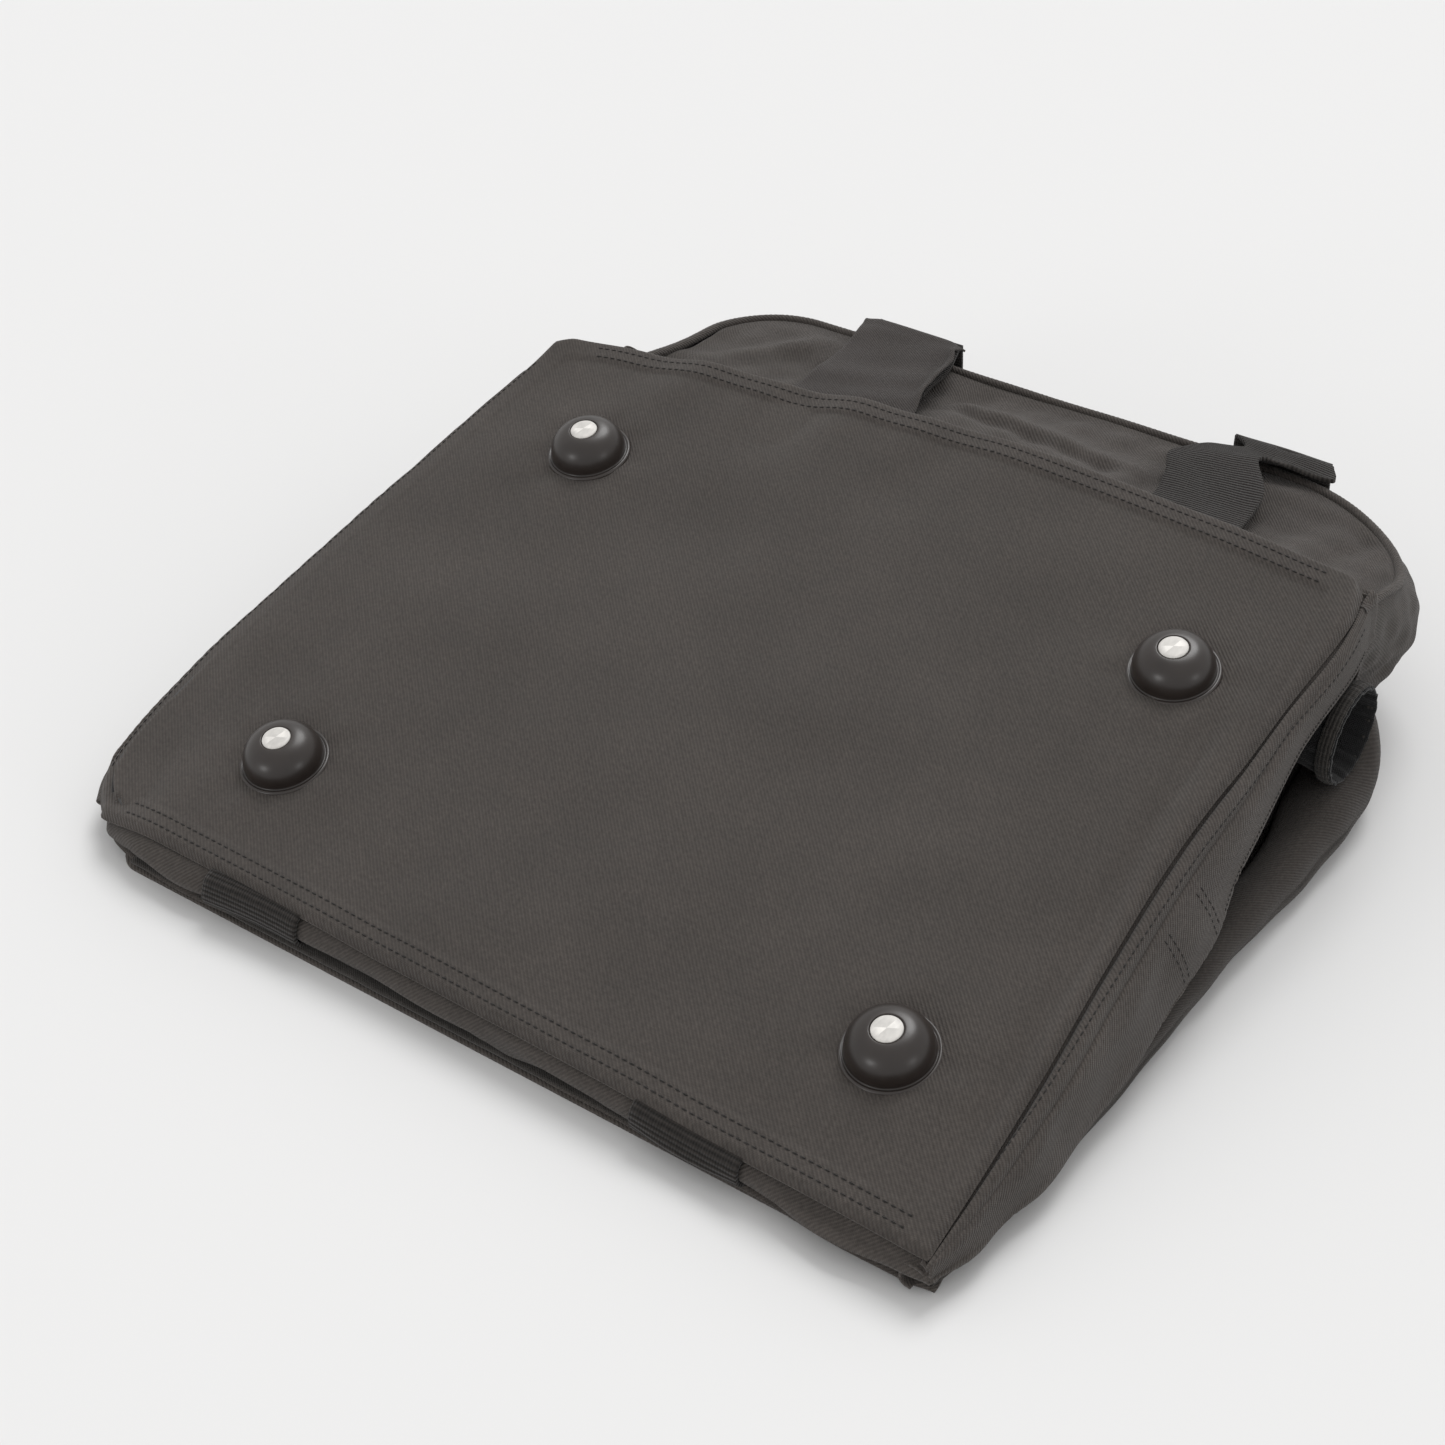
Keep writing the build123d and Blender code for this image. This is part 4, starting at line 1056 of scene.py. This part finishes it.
def webbing_band(name, line, wide, place, thickness):
    """Webbing of a handle, folded narrow where the grip goes round it."""
    path = through(np.column_stack([line, wide]), 320)
    ahead = unit(np.gradient(path[:, :2], axis=0))
    side = np.stack([-ahead[:, 1], ahead[:, 0]], -1)
    t = np.linspace(-1, 1, 14)
    flat = path[:, None, :2] + side[:, None] * (t[None, :, None] * path[:, None, 2:3])
    lift = 0.5 * waves(flat[..., 0], flat[..., 1], 95, 40) + 0.25 * (t**2)[None]
    grid = place(flat[..., 0], flat[..., 1], lift)
    return cloth(name, grid, thickness, uv=arc_uv(grid)[..., ::-1])


def wrap_grip(name, x0, x1, cy, cz, ry, rz, seed):
    """Padded grip wrapped round the webbing, with its seam and gathered ends."""
    xs = np.linspace(x0, x1, 150)
    angle = np.linspace(0, 2 * math.pi, 60, endpoint=False)
    t = (xs - x0) / (x1 - x0)
    ends = np.clip(np.minimum(t, 1 - t) * 12, 0, 1)
    size = 0.86 + 0.14 * np.sqrt(ends * (2 - ends))
    gathers = 0.02 * np.sin(angle * 11) * (1 - ends)[:, None]
    r = size[:, None] * (1 + 0.03 * waves(xs[:, None], angle * 12, seed, 30) + gathers)
    r = r + 0.05 * step(np.sin(angle - 0.3), 0.0, 0.08)
    grid = together(xs[:, None], cy + ry * r * np.cos(angle), cz + rz * r * np.sin(angle))
    uv = together(xs[:, None], angle * (ry + rz) / 2)
    return cloth(name, grid, 1.6, -1.0, uv, flip=True, closed=ROUND), grid


line, wide = handle_loop(-121, -71, 83, 133, 85.3, 47.3, 9.3, 27.3, 20)
hanging = webbing_band("handle_back_webbing_loop", line, wide, lambda x, z, d: together(x, 307.8 + d, z), 1.9)
finish_piece(hanging, "webbing", "handle_back", ["handle_back_webbing"])
grip, grip_grid = wrap_grip("handle_back_grip_pad", -61, 73, 307.8, 18.3, 11.4, 11.4, 96)
finish_piece(grip, "canvas", "handle_back", ["handle_back_grip"], "canvas_dark")
along = np.linspace(0.03, 0.97, 400)
normal = normals_of(grip_grid)
rows = []
for round_grip in (0.33, 0.29):
    at = np.full(len(along), round_grip)
    rows.append(threads(sample(grip_grid, along, at), sample(normal, along, at)))
seam = join_parts("handle_back_grip_stitching", rows)
finish_piece(seam, "canvas", "handle_back", look="thread")

# Front handle, flat in the fold of the front wall
line, wide = handle_loop(-137, -87, 87, 137, -163.2, -112, -72.2, -90.2, 20)
flat_band = webbing_band(
    "handle_front_webbing_loop", line, wide, lambda x, y, d: together(x, y, 8.7 + 0.4 * d), 1.8
)
finish_piece(flat_band, "webbing", "handle_front", ["handle_front_webbing"])
pad, _ = wrap_grip("handle_front_cover_pad", -65, 65, -81.2, 8.7, 11.5, 2.6, 97)
finish_piece(pad, "canvas", "handle_front", ["handle_front_cover"], "canvas_dark")

# ---- arm sleeves and cuffs

MOUTH = {"right": 218.0, "left": -243.0}
MOUTH_Y = 157
for name, side in SIDES.items():
    depth = np.linspace(0, 122, 120)[:, None]
    angle = np.linspace(0, 2 * math.pi, 96, endpoint=False)
    pleats = (0.5 * np.sin(angle * 17) + 0.35 * np.sin(angle * 29 + 1)) * (1.0 + 0.6 * np.exp(-depth / 12))
    folds = 1.1 * waves(depth, np.sin(angle) * 40, 101 + side, 38) * step(depth, 8, 30)
    r = 19.3 + pleats * 0.5 - np.abs(folds) * 0.7 - 1.1 * step(depth, 20, 60)
    r = r * (1 + 0.12 * np.exp(-depth / 14))
    y = MOUTH_Y + r * np.cos(angle) * 1.03
    z = 57 + r * np.sin(angle) * 0.98 - 4 * np.exp(-depth / 25)
    grid, uv = together(MOUTH[name] - side * depth, y, z), together(depth, angle * 19)
    made = cloth(f"sleeve_{name}_cloth", grid, 1.0, uv=uv, flip=side < 0, closed=ROUND)
    finish_piece(made, "lining", f"sleeve_{name}", [f"sleeve_{name}"])

    along = np.linspace(0, 2 * math.pi, 48, endpoint=False)
    around = np.linspace(0, 2 * math.pi, 360, endpoint=False)[:, None]
    wrinkle = 0.35 * np.sin(around * 41) + 0.25 * np.sin(around * 23 + 2)
    x = MOUTH[name] - side * 4.0 + side * 3.4 * np.cos(along) + 0.25 * wrinkle
    r = 22.2 + (1.1 + wrinkle * 0.45) * np.sin(along) * 0.9
    grid = together(x, MOUTH_Y + r * np.cos(around) * 1.02, 53.4 + r * np.sin(around) * 0.99)
    uv = together(around * 21, along * 3)
    made = cloth(f"cuff_elastic_{name}_band", grid, uv=uv, flip=side < 0, closed=RING)
    finish_piece(made, "elastic", f"sleeve_{name}", [f"cuff_elastic_{name}"])

# ---- inner bag


def pouch(x0, x1, y0, y1, z0, z1):
    """Soft flat bag with open arm slots at its two ends, and its cloth coordinates."""
    xs, t = np.linspace(x0, x1, 160)[:, None], np.linspace(0, 2 * math.pi, 120, endpoint=False)
    cy, half = (y0 + y1) / 2, (y1 - y0) / 2
    cz, high = (z0 + z1) / 2, (z1 - z0) / 2
    end = np.clip(np.minimum(xs - x0, x1 - xs) / 20, 0, 1)
    narrow = half - 14 * (1 - end) ** 2
    squareness = 0.35
    c, s = np.cos(t), np.sin(t)
    y = cy + narrow * np.sign(c) * np.abs(c) ** squareness
    z = cz + (high - 0.6) * np.sign(s) * np.abs(s) ** squareness
    ripple = 0.7 * waves(xs, y, 111, 50) * (s > 0)
    z = z + np.where(s > 0, np.minimum(ripple, 0.2), 0)
    return together(xs, y, z), together(xs, t * half * 0.7)


grid, uv = pouch(-150, 150, -44.2, 125.8, 2.95, 12.8)
made = cloth("inner_bag_cloth", grid, 1.2, -1.0, uv, flip=True, closed=ROUND)
inner_sheet = finish_piece(made, "lining", "bag", ["inner_bag"])

# ---- zips


def zip_look(prefix, place, length, coil_half):
    """Woven tape and nylon teeth. place puts (along, across, out) into the frame."""
    a = np.linspace(-length / 2, length / 2, 260)[:, None]
    b = np.linspace(-15, 15, 22)
    lift = 0.7 + 0.18 * waves(a, b, 121, 30) + 0.25 * np.exp(-((np.abs(b) - 11.5) / 0.8) ** 2)
    made = cloth(f"{prefix}_zip_tape_band", place(a, b, lift), 0.7)
    finish_piece(made, "zip_tape", "bag", [f"{prefix}_zip_tape"])
    t = np.linspace(0, 1, 5)
    rise = 1.35 + 0.75 * np.sin(math.pi * np.clip(t, 0, 0.8))
    out = place(0 * t, 0, 1) - place(0 * t, 0, 0)
    parts = []
    for middle in np.arange(-coil_half + 0.8, coil_half, 1.5):
        for side, shift in ((-1, 0), (1, 0.75)):
            line = place(middle + shift + 0 * t, side * (0.2 + 2.7 * t), rise)
            parts.append(threads(line, out, pitch=2.9, length=2.6, width=1.15, height=0.75))
    teeth = join_parts(f"{prefix}_zip_coil_teeth", parts)
    finish_piece(teeth, "zip_coil", "bag", [f"{prefix}_zip_coil"])


zip_look("outer", lambda a, b, d: together(-a, 294.0 + d, 60.0 + b), 300, 140)
zip_look("inner", lambda a, b, d: together(a, 40.8 + b, 12.9 + d), 220, 100)

# ---- CAD pieces kept as they are

KEPT = {
    "foot_washers": "rivet",
    "outer_zip_slider": "slider",
    "outer_zip_pull": "slider",
    "inner_zip_slider": "slider",
    "inner_zip_pull": "slider",
    "outer_zip_stops": "zip_coil",
    "inner_zip_stops": "zip_coil",
}
for node, slot in KEPT.items():
    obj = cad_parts[node]
    obj.data.materials.clear()
    obj.data.materials.append(materials[slot])
    bevel = obj.modifiers.new("worn_edges", "BEVEL")
    bevel.width, bevel.segments, bevel.limit_method = 0.2 * MM, 2, "ANGLE"

# ---- floor, light and camera

FLOOR_HALF = 40000
FLOOR_TONE = 0.655
corners = [(x * FLOOR_HALF, y * FLOOR_HALF, 0) for x, y in ((-1, -1), (1, -1), (1, 1), (-1, 1))]
floor = make_mesh("floor", corners, [(0, 1, 2, 3)])
paper = bpy.data.materials.new("paper")
paper.use_nodes = True
surface = paper.node_tree.nodes["Principled BSDF"].inputs
surface["Base Color"].default_value = (FLOOR_TONE, FLOOR_TONE, FLOOR_TONE, 1)
surface["Roughness"].default_value = 0.9
floor.data.materials.append(paper)
floor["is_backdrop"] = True

world = bpy.data.worlds.new("studio")
world.use_nodes = True
background = world.node_tree.nodes["Background"].inputs
background["Color"].default_value = (1, 0.995, 0.99, 1)
background["Strength"].default_value = 0.87
bpy.context.scene.world = world
SUNS = (  # name, power, softness in degrees, direction of the light
    ("key", 1.52, 30, (0.15, -0.62, -1.0)),
    ("left", 0.36, 16, (0.25, 0.95, -0.24)),
    ("right", 0.15, 16, (-0.96, 0.1, -0.24)),
)
for name, power, softness, towards in SUNS:
    lamp = bpy.data.lights.new(name, "SUN")
    lamp.energy, lamp.angle = power, math.radians(softness)
    obj = place_object(name, lamp)
    obj.rotation_mode = "QUATERNION"
    obj.rotation_quaternion = Vector(towards).to_track_quat("-Z", "Y")

forward, up = Vector((-0.4727, 0.6548, -0.5897)).normalized(), Vector((-0.344, 0.4789, 0.8076))
right = forward.cross(up).normalized()
up = right.cross(forward)
lens = bpy.data.cameras.new("camera")
lens.lens, lens.sensor_width = 63.84, 36.0
lens.clip_start, lens.clip_end = 0.01, 60
camera = place_object("camera", lens)
axes = Matrix((right, up, -forward)).transposed()
camera.matrix_world = Matrix.Translation((0.5131, -0.7106, 0.7006)) @ axes.to_4x4()
bpy.context.scene.camera = camera
bpy.context.scene.view_settings.view_transform = "Standard"

low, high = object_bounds()
